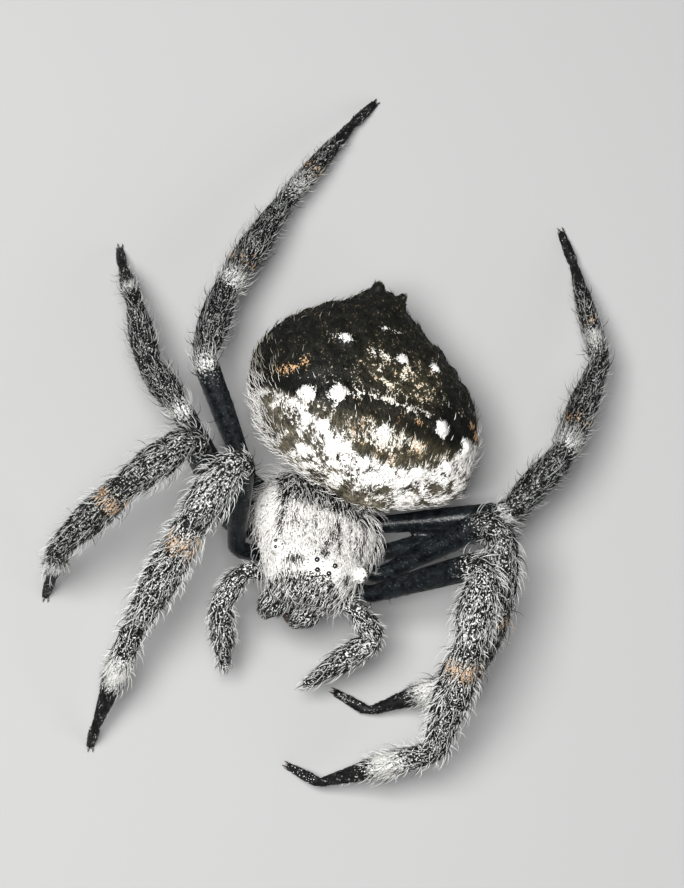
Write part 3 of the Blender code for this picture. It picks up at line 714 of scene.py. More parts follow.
def make_forms():
    pedicel = [SHIFT @ Vector((x, y, PEDICEL_HEIGHT - PEDICEL_SINK)) for x, y in PEDICEL_PATH]
    sternum = loft(STERNUM, sternum_outline, STERNUM_ROWS, *STERNUM_DOMES)
    forms = [make_abdomen_form(), make_carapace_form(), Form("sternum", placed(FORE, sternum)),
             tube("pedicel", [path_line(pedicel)], [(PEDICEL_RADIUS, PEDICEL_RADIUS)], [0])]
    forms += make_cusp_forms() + make_spinneret_forms()
    for side in SIDES:
        knob, radius = EYE_KNOB
        forms.append(make_ball_form("carapace", FORE @ mirrored(knob, side), radius))
        forms += [make_palp_form(side), make_jaw_form(side)]
        forms += [make_leg_form(side, number) for number in LEG_SIZES]
    return forms


# ---- skin -------------------------------------------------------------------------------------

def make_mesh(name, vertices, faces):
    mesh = bpy.data.meshes.new(name)
    mesh.from_pydata(vertices, [], faces)
    return mesh


def put(name, data):
    """A new object in the scene, at the origin."""
    made = bpy.data.objects.new(name, data)
    bpy.context.collection.objects.link(made)
    return made


def settled(body):
    """The mesh that an object's modifiers leave; the object itself goes."""
    graph = bpy.context.evaluated_depsgraph_get()
    mesh = bpy.data.meshes.new_from_object(body.evaluated_get(graph))
    bpy.data.objects.remove(body)
    return mesh


def modified(name, vertices, faces, modifiers):
    """The mesh that a stack of modifiers leaves; each modifier is its kind and its settings."""
    body = put(name, make_mesh(name, vertices, faces))
    for kind, settings in modifiers:
        modifier = body.modifiers.new(kind, kind)
        for key, value in settings.items():
            setattr(modifier, key, value)
    return settled(body)


INTEGER_KEYS = ("vertices", "vertex_index")


def read(mesh_items, key, width=1):
    values = np.empty(len(mesh_items) * width, np.int32 if key in INTEGER_KEYS else np.float32)
    mesh_items.foreach_get(key, values)
    return values.reshape(-1, width) if width > 1 else values


class Skin:
    """The flesh's one closed surface, and which form, part and place each of its points is on."""

    def __init__(self, forms):
        vertices = np.concatenate([form.rings.reshape(-1, 3) for form in forms])
        faces, start = [], 0
        for form in forms:
            faces += form.faces(start)
            start += form.rings[..., 0].size
        source = put("flesh", make_mesh("flesh", vertices.tolist(), faces))
        self.mesh = modified("skin", vertices.tolist(), faces, [
            ("REMESH", {"mode": "VOXEL", "voxel_size": VOXEL}),
            ("SMOOTH", {"factor": 0.5, "iterations": 3}), ("SHRINKWRAP", {"target": source}),
            ("SMOOTH", {"factor": 0.3, "iterations": 1})])
        bpy.data.objects.remove(source)
        self.place = read(self.mesh.vertices, "co", 3)
        self.quads = read(self.mesh.polygons, "vertices", 4)
        self.normal = read(self.mesh.vertex_normals, "vector", 3)
        near = self.nearest(vertices, faces)

        def each(value):
            """What value gives for every ring or column of each form, at the skin's points."""
            grids = [np.broadcast_to(value(form), form.rings.shape[:2]) for form in forms]
            return np.concatenate([grid.ravel() for grid in grids])[near]

        self.names = each(lambda form: form.name)
        self.leg = each(lambda form: int(form.name[-1]) if "_leg_" in form.name else 0)
        self.part = each(lambda form: form.part[:, None])
        self.share = each(lambda form: form.share[:, None])
        self.along = each(lambda form: np.linspace(0, 1, len(form.rings))[:, None])
        self.angle = each(Form.angle)
        self.lie = np.concatenate([form.lie().reshape(-1, 3) for form in forms])[near]
        self.fore = placed(FORE.inverted(), self.place)
        self.hind = placed(HIND.inverted(), self.place)

    def nearest(self, vertices, faces):
        """For each point of the skin, a corner of the flesh's nearest face."""
        tree = BVHTree.FromPolygons(vertices.tolist(), faces)
        return np.array([faces[tree.find_nearest(co)[2]][0] for co in self.place.tolist()])

    def on(self, *names):
        return np.isin(self.names, names)


def blotches(x, y, table):
    total = np.zeros_like(x)
    for middle_x, middle_y, reach_x, reach_y, amount in table:
        total += amount * np.exp(-((x - middle_x) / reach_x) ** 2 - ((y - middle_y) / reach_y) ** 2)
    return total


def pick(where, *colours):
    """Colours blended by weights: the first, then each next one over it."""
    made = np.tile(np.array(COLOURS[colours[0]]), (len(where[0]), 1))
    for weight, name in zip(where, colours[1:]):
        made += (np.array(COLOURS[name]) - made) * weight[:, None]
    return made


def off_band(x, y, band):
    """How far a place lies to the rear of a band across the abdomen."""
    return y - np.interp(x, *band)


def knob_cover(x, y, reach):
    """1 on a knob, falling to 0 at its foot."""
    cover = np.zeros_like(x)
    for knob_x, knob_y, size in KNOBS:
        gap = np.hypot(x - knob_x, y - knob_y)
        cover = np.maximum(cover, step(reach * size, KNOB_TOP * reach * size, gap))
    return cover


def paint_abdomen(skin):
    """White knobbly front, streaks, dark band and pale line, then the saddle and the grey rear."""
    x, y, z = skin.hind.T
    above = zone("abdomen_top", z)
    behind = off_band(x, y, WHITE_BAND)
    behind_dark = off_band(x, y, DARK_BAND)
    spots, gilt = blotches(x, y, PALE_BLOTCHES), blotches(x, y, GOLD_BLOTCHES)
    front = zone("white_front", behind) * zone("white_foot", z)
    centre = zone("centre_right", x) * zone("centre_left", x)
    dark = hump(behind_dark, 0, DARK_BAND_REACH) * centre * above
    streaks = zone("streaks_front", behind) * zone("streaks_rear", behind_dark) * above
    saddle = zone("saddle_right", x) * zone("saddle_left", x) * hump(y, *SADDLE) * above
    whiter = 1 - PALE["front_edge"] * zone("front_edge", behind)
    pale = PALE["skin"] + PALE["front"] * front * whiter + PALE["streaks"] * streaks * (1 - front)
    line = hump(off_band(x, y, PALE_LINE), 0, PALE_LINE_REACH)
    pale += PALE["line"] * line * centre * above - PALE["dark"] * dark
    rear = PALE["rear"] * zone("rear", y) * zone("rear_fade", y)
    pale += PALE["saddle"] * saddle + rear + above * spots
    pale = np.maximum(pale, PALE["knob"] * knob_cover(x, y, KNOB_WHITE) * above)
    gold = GOLD["skin"] * above + GOLD["streaks"] * streaks + GOLD["saddle"] * saddle
    gold = gold + GOLD["blotch"] * above * gilt
    olive = np.clip(front + streaks + OLIVE_SADDLE * saddle, 0, 1)
    ground = pick((olive, front, dark, zone("belly", z)), "abdomen_rear", "abdomen_middle",
                  "abdomen_front", "dark_band", "belly")
    knob_foot = knob_cover(x, y, KNOB_FOOT)
    straw = np.clip(saddle + STRAW_STREAKS * streaks - knob_foot, 0, 1)
    grey = zone("grey_top", y) * np.clip(1 - saddle - 2 * spots * above, 0, 1)
    grey = np.maximum(grey * (1 - knob_foot), zone("grey_flank", y) * (1 - above))
    mixed = np.clip(zone("speckled", y) - PLAIN_SADDLE * saddle + gilt, 0, 1)
    speckle, more = SPECKLE_ON_ABDOMEN
    return skin.on("abdomen", "pedicel"), {
        "ground": ground, "light": pick((straw, grey), "white_hair", "straw_hair", "grey_hair"),
        "pale": pale, "gold": gold, "speckle": speckle + more * mixed, "rough": ABDOMEN_ROUGH}


def paint_carapace(skin):
    """White hair with dark partings, a dark face, margin and rear, and white round the side eyes."""
    x, y, z = skin.fore.T
    face = np.clip(zone("face", y) + zone("hem", z), 0, 1)
    rear = zone("shell_rear", y) * zone("shell_middle", np.abs(x))
    pale = PALE["shell"] - PALE["face"] * face - PALE["shell_rear"] * rear
    pale += blotches(x, y, SHELL_BLOTCHES)
    for side in SIDES.values():
        seam = PALE["seam"] * hump(x - side * SEAM_PLACE, 0, SEAM_REACH)
        pale -= seam * zone("seam_rear", y) * zone("seam_front", y)
    round_eyes = hump(eye_distance(skin.fore), 0, EYE_HAIR) * zone("side_eyes", np.abs(x))
    return skin.on("carapace"), {
        "ground": pick((np.maximum(face, rear),), "carapace", "face"), "light": COLOURS["white_hair"],
        "pale": np.maximum(pale, PALE["eyes"] * round_eyes)}


def paint_legs(skin):
    """Bare femora, pale hair, rings and gold marks, black feet, and painted shade that greys the hair of
    the rear pairs.
    """
    part, share = skin.part, skin.share
    foot = np.where(skin.leg < 3, zone("front_feet", share), zone("rear_feet", share))
    dark_end = np.where(part == TARSUS, 1.0, np.where(part == METATARSUS, foot, 0))
    bare = np.where(part == FEMUR, 1 - zone("femur_hair", share), 0.0)
    fewer = np.array(PALE_LEGS)[skin.leg]
    pale = np.array(PALE_ON_LEG)[np.clip(part, 0, TARSUS)] * (1 - PALE_LOST["femur"] * bare) * fewer
    pale = pale * (1 - PALE_LOST["foot"] * dark_end * (part == METATARSUS))
    pale = pale * at_least(PALE_AT_JOINT, zone("joint_hair", np.minimum(share, 1 - share)))
    gold, ring = np.zeros(len(share)), np.zeros(len(share))
    for numbers, mark_part, middle, reach, add_pale, add_gold in LEG_MARKS:
        here = np.isin(skin.leg, numbers) & (part == mark_part)
        weight = np.where(here, hump(share, middle, reach), 0)
        pale = pale + weight * add_pale
        gold = gold + weight * add_gold * zone("leg_top", np.sin(skin.angle))
        ring = np.maximum(ring, weight * zone("ring", add_pale))
    limb = skin.leg > 0
    skin.fewer, skin.ring, skin.bare, skin.dark_end = fewer, ring, bare * limb, dark_end * limb
    # painted shade: the hair of legs 3 and 4 is greyed, as if they lay in shade
    light = pick((np.array(LEG_HAIR_SHADE)[skin.leg], ring, bare),
                 "leg_hair", "shaded_leg_hair", "ring_hair", "femur_hair")
    return limb, {"ground": pick((bare, dark_end), "leg", "femur", "tarsus"), "pale": pale,
                  "gold": gold, "light": light, "rough": USUAL["rough"] - FEMUR_GLOSS * bare}


def paint(skin):
    """The weights and colours that skin and coat share, one value for each point of the skin."""
    count = len(skin.place)
    painted = {"ground": np.tile(COLOURS["underside"], (count, 1)),
               "light": np.tile(COLOURS["leg_hair"], (count, 1)),
               **{name: np.full(count, value) for name, value in USUAL.items()}}
    for where, made in (
            paint_abdomen(skin), paint_carapace(skin), paint_legs(skin),
            (skin.on(*JAWS, "sternum"), {"ground": COLOURS["face"]}),
            (skin.on(*PALPS), {"ground": COLOURS["face"], "pale": PALE_ON_PALPS})):
        for name, values in made.items():
            painted[name][where] = np.broadcast_to(values, painted[name].shape)[where]
    for name in ("pale", "gold"):
        painted[name] = np.clip(painted[name], 0, 1)
    skin.painted = painted


# ---- node trees -------------------------------------------------------------------------------

def add(tree, kind, inputs=None, **settings):
    """A node with its settings; an input is a value, another node's socket, or its first output."""
    made = tree.nodes.new(kind)
    for name, value in settings.items():
        setattr(made, name, value)
    for key, value in (inputs or {}).items():
        if isinstance(value, bpy.types.Node):
            value = next(socket for socket in value.outputs if socket.enabled)
        if isinstance(value, bpy.types.NodeSocket):
            tree.links.new(value, made.inputs[key])
        else:
            made.inputs[key].default_value = value
    return made


def named(tree, name, kind="FLOAT"):
    return add(tree, "GeometryNodeInputNamedAttribute", {"Name": name}, data_type=kind)


def calculate(tree, operation, a, b=0.0):
    return add(tree, "ShaderNodeMath", {0: a, 1: b}, operation=operation)


def scaled(tree, vector, amount):
    return add(tree, "ShaderNodeVectorMath", {0: vector, "Scale": amount}, operation="SCALE")


def summed(tree, a, b):
    return add(tree, "ShaderNodeVectorMath", {0: a, 1: b}, operation="ADD")


def chance(tree, low, high, seed):
    made = add(tree, "FunctionNodeRandomValue", {"Seed": seed, 2: low, 3: high}, data_type="FLOAT")
    return made.outputs[1]


def store(tree, geometry, name, value, kind="FLOAT"):
    return add(tree, "GeometryNodeStoreNamedAttribute",
               {"Geometry": geometry, "Name": name, "Value": value}, data_type=kind, domain="POINT")


def coat_tree():
    """Scatters tufts over a bed of skin by the numbers on the bed's points, and bends each one.

    density is tufts for each square millimetre, reach a tuft's length, girth its radius, lift its
    angle over the skin and droop how far its tip comes back down, as a share of its length.
    """
    tree = bpy.data.node_groups.new("coat", "GeometryNodeTree")
    for name, kind in (("Bed", "Geometry"), ("Tuft", "Object"), ("Spread", "Float"), ("Curl", "Float"),
                       ("Seed", "Int"), ("Finish", "Material")):
        tree.interface.new_socket(name=name, in_out="INPUT", socket_type=f"NodeSocket{kind}")
    tree.interface.new_socket(name="Coat", in_out="OUTPUT", socket_type="NodeSocketGeometry")
    given = add(tree, "NodeGroupInput").outputs

    def varied(value, seed):
        return calculate(tree, "MULTIPLY", value, chance(tree, *VARIETY[seed], seed))

    def swung(name, seed):
        """A chance value between minus and plus one of the tree's inputs."""
        return chance(tree, calculate(tree, "MULTIPLY", given[name], -1.0), given[name], seed)

    def turned_by(angle, start, end):
        """The direction reached by turning from start towards end."""
        return summed(tree, scaled(tree, start, calculate(tree, "COSINE", angle)),
                      scaled(tree, end, calculate(tree, "SINE", angle)))

    points = add(tree, "GeometryNodeDistributePointsOnFaces",
                 {"Mesh": given["Bed"], "Density": named(tree, "density"), "Seed": given["Seed"]})
    out = points.outputs["Normal"]
    lie = named(tree, "lie", "FLOAT_VECTOR")
    across = add(tree, "ShaderNodeVectorMath", {0: out, 1: lie}, operation="CROSS_PRODUCT")
    heading = turned_by(swung("Spread", 1), lie, across)
    growth = turned_by(varied(named(tree, "lift"), 2), heading, out)
    reach = varied(named(tree, "reach"), 3)
    droop = varied(named(tree, "droop"), 4)
    sweep = calculate(tree, "MULTIPLY", droop, -SWEEP)
    bow = summed(tree, scaled(tree, out, droop), scaled(tree, heading, sweep))
    hook = scaled(tree, summed(tree, bow, scaled(tree, across, swung("Curl", 5))), reach)
    rooted = store(tree, points.outputs["Points"], "root", add(tree, "GeometryNodeInputPosition"),
                   "FLOAT_VECTOR")
    rooted = store(tree, rooted, "hook", hook, "FLOAT_VECTOR")
    rooted = store(tree, rooted, "chance", chance(tree, 0.0, 1.0, 6))
    turned = add(tree, "FunctionNodeAxesToRotation", {0: growth, 1: across},
                 primary_axis="Z", secondary_axis="X")
    girth = named(tree, "girth")
    size = add(tree, "ShaderNodeCombineXYZ", {0: girth, 1: girth, 2: reach})
    tuft = add(tree, "GeometryNodeObjectInfo", {"Object": given["Tuft"]})
    tufts = add(tree, "GeometryNodeInstanceOnPoints", {
        "Points": rooted, "Instance": tuft.outputs["Geometry"], "Rotation": turned, "Scale": size})
    real = add(tree, "GeometryNodeRealizeInstances", {"Geometry": tufts})
    tip = named(tree, "tip")
    offset = scaled(tree, named(tree, "hook", "FLOAT_VECTOR"), calculate(tree, "MULTIPLY", tip, tip))
    bent = add(tree, "GeometryNodeSetPosition", {"Geometry": real, "Offset": offset})
    finished = add(tree, "GeometryNodeSetMaterial", {"Geometry": bent, "Material": given["Finish"]})
    add(tree, "NodeGroupOutput", {"Coat": finished})
    return tree


def attribute(tree, name, output):
    return add(tree, "ShaderNodeAttribute", attribute_name=name).outputs[output]


def ranged(tree, value, start, end=(0.0, 1.0)):
    """A value brought from one range to another and held within it."""
    return add(tree, "ShaderNodeMapRange", {0: value, 1: start[0], 2: start[1], 3: end[0], 4: end[1]})


def shaded(tree, colour, factor):
    """A colour multiplied by a grey factor."""
    grey = add(tree, "ShaderNodeCombineColor", {0: factor, 1: factor, 2: factor})
    return add(tree, "ShaderNodeMix", {0: 1.0, 6: colour, 7: grey}, data_type="RGBA",
               blend_type="MULTIPLY").outputs[2]


def markings_group():
    """Pale and gold flecks over the ground colour, where the painted weights and chance say so."""
    tree = bpy.data.node_groups.new("markings", "ShaderNodeTree")
    tree.interface.new_socket(name="Chance", in_out="INPUT", socket_type="NodeSocketFloat")
    tree.interface.new_socket(name="Colour", in_out="OUTPUT", socket_type="NodeSocketColor")
    given = add(tree, "NodeGroupInput").outputs
    patches = -0.5
    for size in PATCH_SIZES:
        swirl = add(tree, "ShaderNodeTexNoise", {"Vector": attribute(tree, "root", "Vector"),
                                                 "Scale": 1 / size, "Detail": 1.5, "Roughness": 0.55})
        patch = calculate(tree, "MULTIPLY", ranged(tree, swirl, (0.37, 0.63)), 1 / len(PATCH_SIZES))
        patches = calculate(tree, "ADD", patch, patches)
    speckle = attribute(tree, "speckle", "Fac")
    rest = calculate(tree, "SUBTRACT", 1.0, speckle)
    squares = [calculate(tree, "MULTIPLY", share, share) for share in (speckle, rest)]
    spread = calculate(tree, "SQRT", calculate(tree, "ADD", *squares))
    single = calculate(tree, "MULTIPLY", calculate(tree, "SUBTRACT", given["Chance"], 0.5), speckle)
    mixed = calculate(tree, "ADD", calculate(tree, "MULTIPLY", patches, rest), single)
    level = ranged(tree, calculate(tree, "DIVIDE", mixed, spread), (-0.5, 0.5))
    mottle = ranged(tree, patches, (-0.45, 0.45), GROUND_MOTTLE)
    colour = shaded(tree, attribute(tree, "ground", "Color"), mottle)
    tones = (("pale", attribute(tree, "light", "Color")), ("gold", (*COLOURS["gold"], 1)))
    for weight, tone in tones:
        edge = calculate(tree, "SUBTRACT", 1.0, attribute(tree, weight, "Fac"))
        shown = add(tree, "ShaderNodeMapRange", {
            0: level, 1: edge, 2: calculate(tree, "ADD", edge, MARK_EDGE)},
            interpolation_type="SMOOTHSTEP")
        colour = add(tree, "ShaderNodeMix", {0: shown, 6: colour, 7: tone}, data_type="RGBA").outputs[2]
    add(tree, "NodeGroupOutput", {"Colour": colour})
    return tree


def surface_material(name):
    made = bpy.data.materials.new(name)
    made.use_nodes = True
    tree = made.node_tree
    return made, tree, tree.nodes["Principled BSDF"]


def skin_material(markings):
    made, tree, surface = surface_material("skin")
    place = add(tree, "ShaderNodeTexCoord").outputs["Object"]
    grain = add(tree, "ShaderNodeTexNoise", {"Vector": place, "Scale": 9000.0, "Detail": 3.0})
    fine = ranged(tree, grain, (0.35, 0.65))
    marks = add(tree, "ShaderNodeGroup", {}, node_tree=markings)
    tree.links.new(fine.outputs[0], marks.inputs["Chance"])
    # painted shade: the whole skin is darkened, as if shaded by its coat
    tree.links.new(shaded(tree, marks.outputs["Colour"], SHADE_UNDER_COAT), surface.inputs["Base Color"])
    tree.links.new(attribute(tree, "rough", "Fac"), surface.inputs["Roughness"])
    surface.inputs["Specular IOR Level"].default_value = 0.2
    bump = add(tree, "ShaderNodeBump", {"Height": grain, "Distance": 0.00004, "Strength": 0.6})
    tree.links.new(bump.outputs[0], surface.inputs["Normal"])
    return made


def coat_material(name, markings, roughness):
    made, tree, surface = surface_material(name)
    marks = add(tree, "ShaderNodeGroup", {}, node_tree=markings)
    tree.links.new(attribute(tree, "chance", "Fac"), marks.inputs["Chance"])
    tone = ranged(tree, attribute(tree, "tip", "Fac"), (0.0, 1.0), ROOT_TO_TIP)
    depth = ranged(tree, attribute(tree, "chance", "Fac"), (0.0, 1.0), DARK_TO_LIGHT)
    shade = calculate(tree, "MULTIPLY", tone, depth)
    tree.links.new(shaded(tree, marks.outputs["Colour"], shade), surface.inputs["Base Color"])
    surface.inputs["Roughness"].default_value = roughness
    surface.inputs["Specular IOR Level"].default_value = 0.12
    return made


# ---- coat -------------------------------------------------------------------------------------

def make_tuft(name, stages):
    """A straight closed spike up Z, of unit length and radius, three-sided with a few rings."""
    corners = [2 * pi * k / 3 for k in range(3)]
    levels = np.arange(stages) / stages
    widths = (1 - levels ** 2) * np.where(levels == 0, TUFT_ROOT, 1.0)
    vertices = [(cos(a) * w, sin(a) * w, t) for t, w in zip(levels, widths) for a in corners]
    vertices.append((0, 0, 1))
    faces = [(2, 1, 0)]
    for start in range(0, 3 * (stages - 1), 3):
        faces += [(start + i, start + (i + 1) % 3, start + 3 + (i + 1) % 3, start + 3 + i)
                  for i in range(3)]
    last = 3 * (stages - 1)
    faces += [(last + i, last + (i + 1) % 3, len(vertices) - 1) for i in range(3)]
    mesh = make_mesh(name, vertices, faces)
    store_values(mesh, "tip", [v[2] for v in vertices])
    store_values(mesh, "across", [v[0] for v in vertices])
    return put(name, mesh)


def store_values(mesh, name, values):
    values = np.asarray(values, np.float32)
    kind = "FLOAT_VECTOR" if values.ndim == 2 else "FLOAT"
    made = mesh.attributes.new(name, kind, "POINT")
    made.data.foreach_set("vector" if values.ndim == 2 else "value", values.ravel())


def take_values(mesh, name, width=1):
    return read(mesh.attributes[name].data, "vector" if width == 3 else "value", width)


def unwrap(mesh, strips):
    """Writes OFBake: every tuft is a small patch at its root's place on the skin's own unwrap.

    The unwrap lays each form's surface out as a strip: along it one way, round it the other.
    """
    chart = take_values(mesh, "chart", 3)
    strip = np.round(take_values(mesh, "strip"))
    around = (np.arctan2(chart[:, 1], chart[:, 0]) / (2 * pi)) % 1
    u = 0.01 + 0.98 * chart[:, 2] + (take_values(mesh, "across") * 0.5) * PATCH
    v = (strip + 0.02 + 0.96 * around) / strips + (take_values(mesh, "tip") - 0.5) * PATCH
    places = np.clip(np.stack([u, v], axis=1), 0, 1)[read(mesh.loops, "vertex_index")]
    layer = mesh.uv_layers.new(name="OFBake")
    layer.data.foreach_set("uv", places.astype(np.float32).ravel())


def make_bed(skin, chosen, fields):
    """The skin's faces that carry one piece of the coat, with the coat's numbers on its points."""
    quads = skin.quads[chosen[skin.quads[:, 0]]]
    used, corners = np.unique(quads, return_inverse=True)
    mesh = make_mesh("bed", skin.place[used].tolist(), corners.reshape(-1, 4).tolist())
    order = {name: k for k, name in enumerate(dict.fromkeys(skin.names[chosen]))}
    chart = np.stack([np.cos(skin.angle), np.sin(skin.angle), skin.along], axis=1)
    store_values(mesh, "strip", [order.get(name, 0) for name in skin.names[used]])
    store_values(mesh, "chart", chart[used])
    for name, values in {**skin.painted, **fields}.items():
        store_values(mesh, name, values[used])
    return put("bed", mesh), len(order)


def grow(name, skin, chosen, coat, tuft, finish, spread, curl, seed):
    """One piece of the coat over the chosen points of the skin."""
    bed, strips = make_bed(skin, chosen, coat)
    modifier = bed.modifiers.new("coat", "NODES")
    modifier.node_group = TREE
    values = {"Tuft": tuft, "Spread": radians(spread), "Curl": curl, "Seed": SEED + seed,
              "Finish": finish}
    for item in TREE.interface.items_tree:
        if item.name in values:
            modifier[item.identifier] = values[item.name]
    mesh = settled(bed)
    unwrap(mesh, strips)
    for spare in [a.name for a in mesh.attributes if not (a.is_internal or a.is_required)]:
        if spare not in KEPT:
            mesh.attributes.remove(mesh.attributes[spare])
    mesh.materials.clear()
    mesh.materials.append(finish)
    return piece(name, mesh)


def piece(name, mesh):
    """A finished mesh in millimetres as a piece of the model."""
    places = read(mesh.vertices, "co", 3)
    places[:, 2] = np.maximum(places[:, 2], 0.0)
    mesh.vertices.foreach_set("co", (places * MM).ravel())
    mesh.update()
    mesh.shade_smooth()
    made = put(name, mesh)
    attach(made, "root")
    return made


def blank_coat(skin, **given):
    """A coat's numbers at every point of the skin; none of it grows until density is set."""
    usual = {"density": 0.0, "reach": 0.4, "girth": 0.018, "lift": radians(15), "droop": 0.2}
    coat = {name: np.full(len(skin.place), value) for name, value in {**usual, **given}.items()}
    return {**coat, "lie": skin.lie.copy()}


def comb(skin, coat, where, way):
    """Lays the coat along the skin in the given direction, where chosen."""
    flat = way - skin.normal * (way * skin.normal).sum(axis=1, keepdims=True)
    flat /= np.maximum(np.linalg.norm(flat, axis=1, keepdims=True), TINY)
    coat["lie"][where] = flat[where]


def down_on_limbs(skin):
    coat = blank_coat(skin, girth=0.0165)
    for limb, table in ((skin.leg > 0, DOWN_ON_LEG), (skin.on(*PALPS), DOWN_ON_PALP)):
        density, reach, lift = np.array(table, float)[np.clip(skin.part, 0, len(table) - 1)].T
        for key, values in (("density", density), ("reach", reach), ("lift", np.radians(lift))):
            coat[key][limb] = values[limb]
    femur_end = (skin.leg > 0) * (skin.part == FEMUR) * zone("femur_down", skin.share)
    coat["density"] += FEMUR_END_DOWN * femur_end
    joint = np.minimum(skin.share, 1 - skin.share)
    coat["density"] *= at_least(DOWN_AT_JOINT, zone("joint_down", joint))
    coat["reach"] *= 1 - 0.45 * skin.dark_end * (skin.part == METATARSUS)
    for key, more in zip(("density", "reach", "lift"), RING_DOWN):
        coat[key] += more * skin.ring
    return coat


def bristles_on_limbs(skin):
    """Long hooked hairs that fringe the limbs; nearly all of them are pale."""
    coat = blank_coat(skin, girth=0.023, lift=radians(76), droop=0.52)
    usual = np.array(BRISTLES_ON_LEG)[np.clip(skin.part, 0, TARSUS)]
    femur_end = (skin.part == FEMUR) * zone("femur_bristles", skin.share)
    top, flanks = BRISTLES_ROUND
    flank = top + flanks * np.cos(skin.angle) ** 2
    density = (usual + FEMUR_END_BRISTLES * femur_end) * flank
    density = density * (1 - PALE_LOST["foot"] * skin.dark_end) * skin.fewer
    palp = skin.on(*PALPS)
    coat["density"] = np.where(skin.leg > 0, density, np.where(palp, BRISTLES_ON_PALP * flank, 0))
    coat["reach"] = np.where(palp, *BRISTLE_REACH) * (1 - 0.5 * skin.dark_end)
    coat["pale"] = np.clip(0.85 + 0.15 * skin.ring - 0.5 * skin.bare, 0, 1)
    coat["gold"] = skin.painted["gold"] * 0.6
    return coat


def down_on_fore_body(skin):
    """Down swept to the rear over the carapace, outwards at its sides and down over the face."""
    coat = blank_coat(skin)
    x, y, z = skin.fore.T
    shell = skin.on("carapace")
    for names, density in DOWN_ON_FORE_BODY:
        coat["density"][skin.on(*names)] = density
    coat["density"] *= 1 - zone("bare_round_eyes", eye_distance(skin.fore))
    face = zone("face_down", y)
    side = zone("shell_side", np.abs(x))
    rear = SHELL_DOWN["rear_reach"] * zone("long_down", y) * (1 - 1.6 * side)
    coat["reach"] = SHELL_DOWN["reach"] + rear + SHELL_DOWN["face_reach"] * face
    coat["reach"] *= at_least(0.45, zone("short_round_eyes", eye_distance(skin.fore)))
    margin = radians(SHELL_DOWN["margin_lift"]) * zone("shell_margin", z) * shell
    coat["lift"] = radians(SHELL_DOWN["lift"]) + margin
    outer = zone("parted", np.abs(x))
    way = np.stack([np.sign(x) * outer * 0.55 - 0.10 * x * (1 - outer),
                    -1 + 0.2 * outer + 0.6 * face, -0.5 * outer - 1.2 * face], axis=1)
    comb(skin, coat, shell, way @ np.array(FORE)[:3, :3].T)
    return coat


def bristles_on_body(skin):
    """Longer pale hairs: the fringe round the abdomen and the carapace's margin and rear rim."""
    coat = blank_coat(skin, girth=0.022)
    hind, shell = skin.on("abdomen"), skin.on("carapace")
    y, z = skin.hind.T[1:]
    flank = hump(z, *FLANK) * zone("fringe_rear", y)
    front = zone("fringe_front", y)
    x, y, z = skin.fore.T
    edge = zone("margin", z) * zone("behind_face", y)
    rim = zone("rim", y) * zone("shell_middle", np.abs(x))
    clear = zone("clear_of_eyes", eye_distance(skin.fore))
    coat["density"] = np.where(hind, 0.3 + flank * (8.5 + 3.5 * front), 0)
    coat["density"] = np.where(shell, (1.5 + 15 * edge + 8 * rim) * clear, coat["density"])
    coat["reach"] = np.where(hind, 0.34 + 0.6 * front * flank + 0.16 * flank, 0.62)
    coat["reach"] = np.where(shell, 0.6 + 0.8 * edge + 0.3 * rim, coat["reach"])
    coat["lift"] = np.where(hind, radians(40) + radians(15) * flank,
                            radians(30) + radians(34) * np.maximum(edge, 0.7 * rim))
    coat["droop"] = np.where(hind, 0.45, 0.5)
    coat["pale"] = np.where(hind, 0.35 + 0.5 * front + 0.15 * flank, 1.0)
    coat["gold"] = np.zeros(len(x))
    return coat


def down_on_abdomen(skin):
    """Down that is longer and denser at the front, thin below, and nearly absent on the knobs."""
    coat = blank_coat(skin)
    x, y, z = skin.hind.T
    front = zone("front_down", y) * zone("front_down_foot", z)
    for key, (usual, more) in HIND_DOWN.items():
        coat[key] = usual + more * front
    coat["lift"] = np.radians(coat["lift"])
    coat["density"] -= BELLY_DOWN_LOST * zone("thin_below", z)
    coat["density"] *= 1 - KNOB_DOWN_LOST * knob_cover(x, y, KNOB_BARE) * zone("knob_tops", z)
    return coat


# ---- eyes, fangs and claws --------------------------------------------------------------------

def plain_material(name, colour, roughness, coat=0.0):
    made, tree, surface = surface_material(name)
    place = add(tree, "ShaderNodeTexCoord").outputs["Object"]
    cloud = add(tree, "ShaderNodeTexNoise", {"Vector": place, "Scale": 4000.0, "Detail": 2.0})
    tone = ranged(tree, cloud, (0.0, 1.0), (0.7, 1.3))
    tree.links.new(shaded(tree, (*colour, 1), tone), surface.inputs["Base Color"])
    surface.inputs["Roughness"].default_value = roughness
    surface.inputs["Coat Weight"].default_value = coat
    return made


def joined(parts):
    """One mesh from (vertices, faces) pairs."""
    vertices, faces = [], []
    for part_vertices, part_faces in parts:
        faces += [tuple(len(vertices) + i for i in face) for face in part_faces]
        vertices += [tuple(v) for v in part_vertices]
    return make_mesh("joined", vertices, faces)


def poured(bm, mesh):
    bm.to_mesh(mesh)
    bm.free()
    return mesh


def outward_faces(mesh):
    bm = bmesh.new()
    bm.from_mesh(mesh)
    bmesh.ops.recalc_face_normals(bm, faces=bm.faces)
    return poured(bm, mesh)


def horn(points, radii, columns=10):
    """Vertices and faces of a tapered horn along a few points."""
    form = tube("horn", [path_line(points, 0.04)], [radii], [0], columns, dome=radii[-1])
    return form.rings.reshape(-1, 3), form.faces(0)


def make_eyes(finish):
    for name, (middle, radius) in EYES.items():
        for side in SIDES:
            bm = bmesh.new()
            bmesh.ops.create_uvsphere(bm, u_segments=32, v_segments=20, radius=radius * LENS_SIZE)
            bmesh.ops.translate(bm, vec=FORE @ mirrored(middle, side), verts=bm.verts)
            mesh = poured(bm, bpy.data.meshes.new("lens"))
            mesh.materials.append(finish)
            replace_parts(piece(f"lens_{name[4:]}_{side}", mesh), f"{name}_{side}")


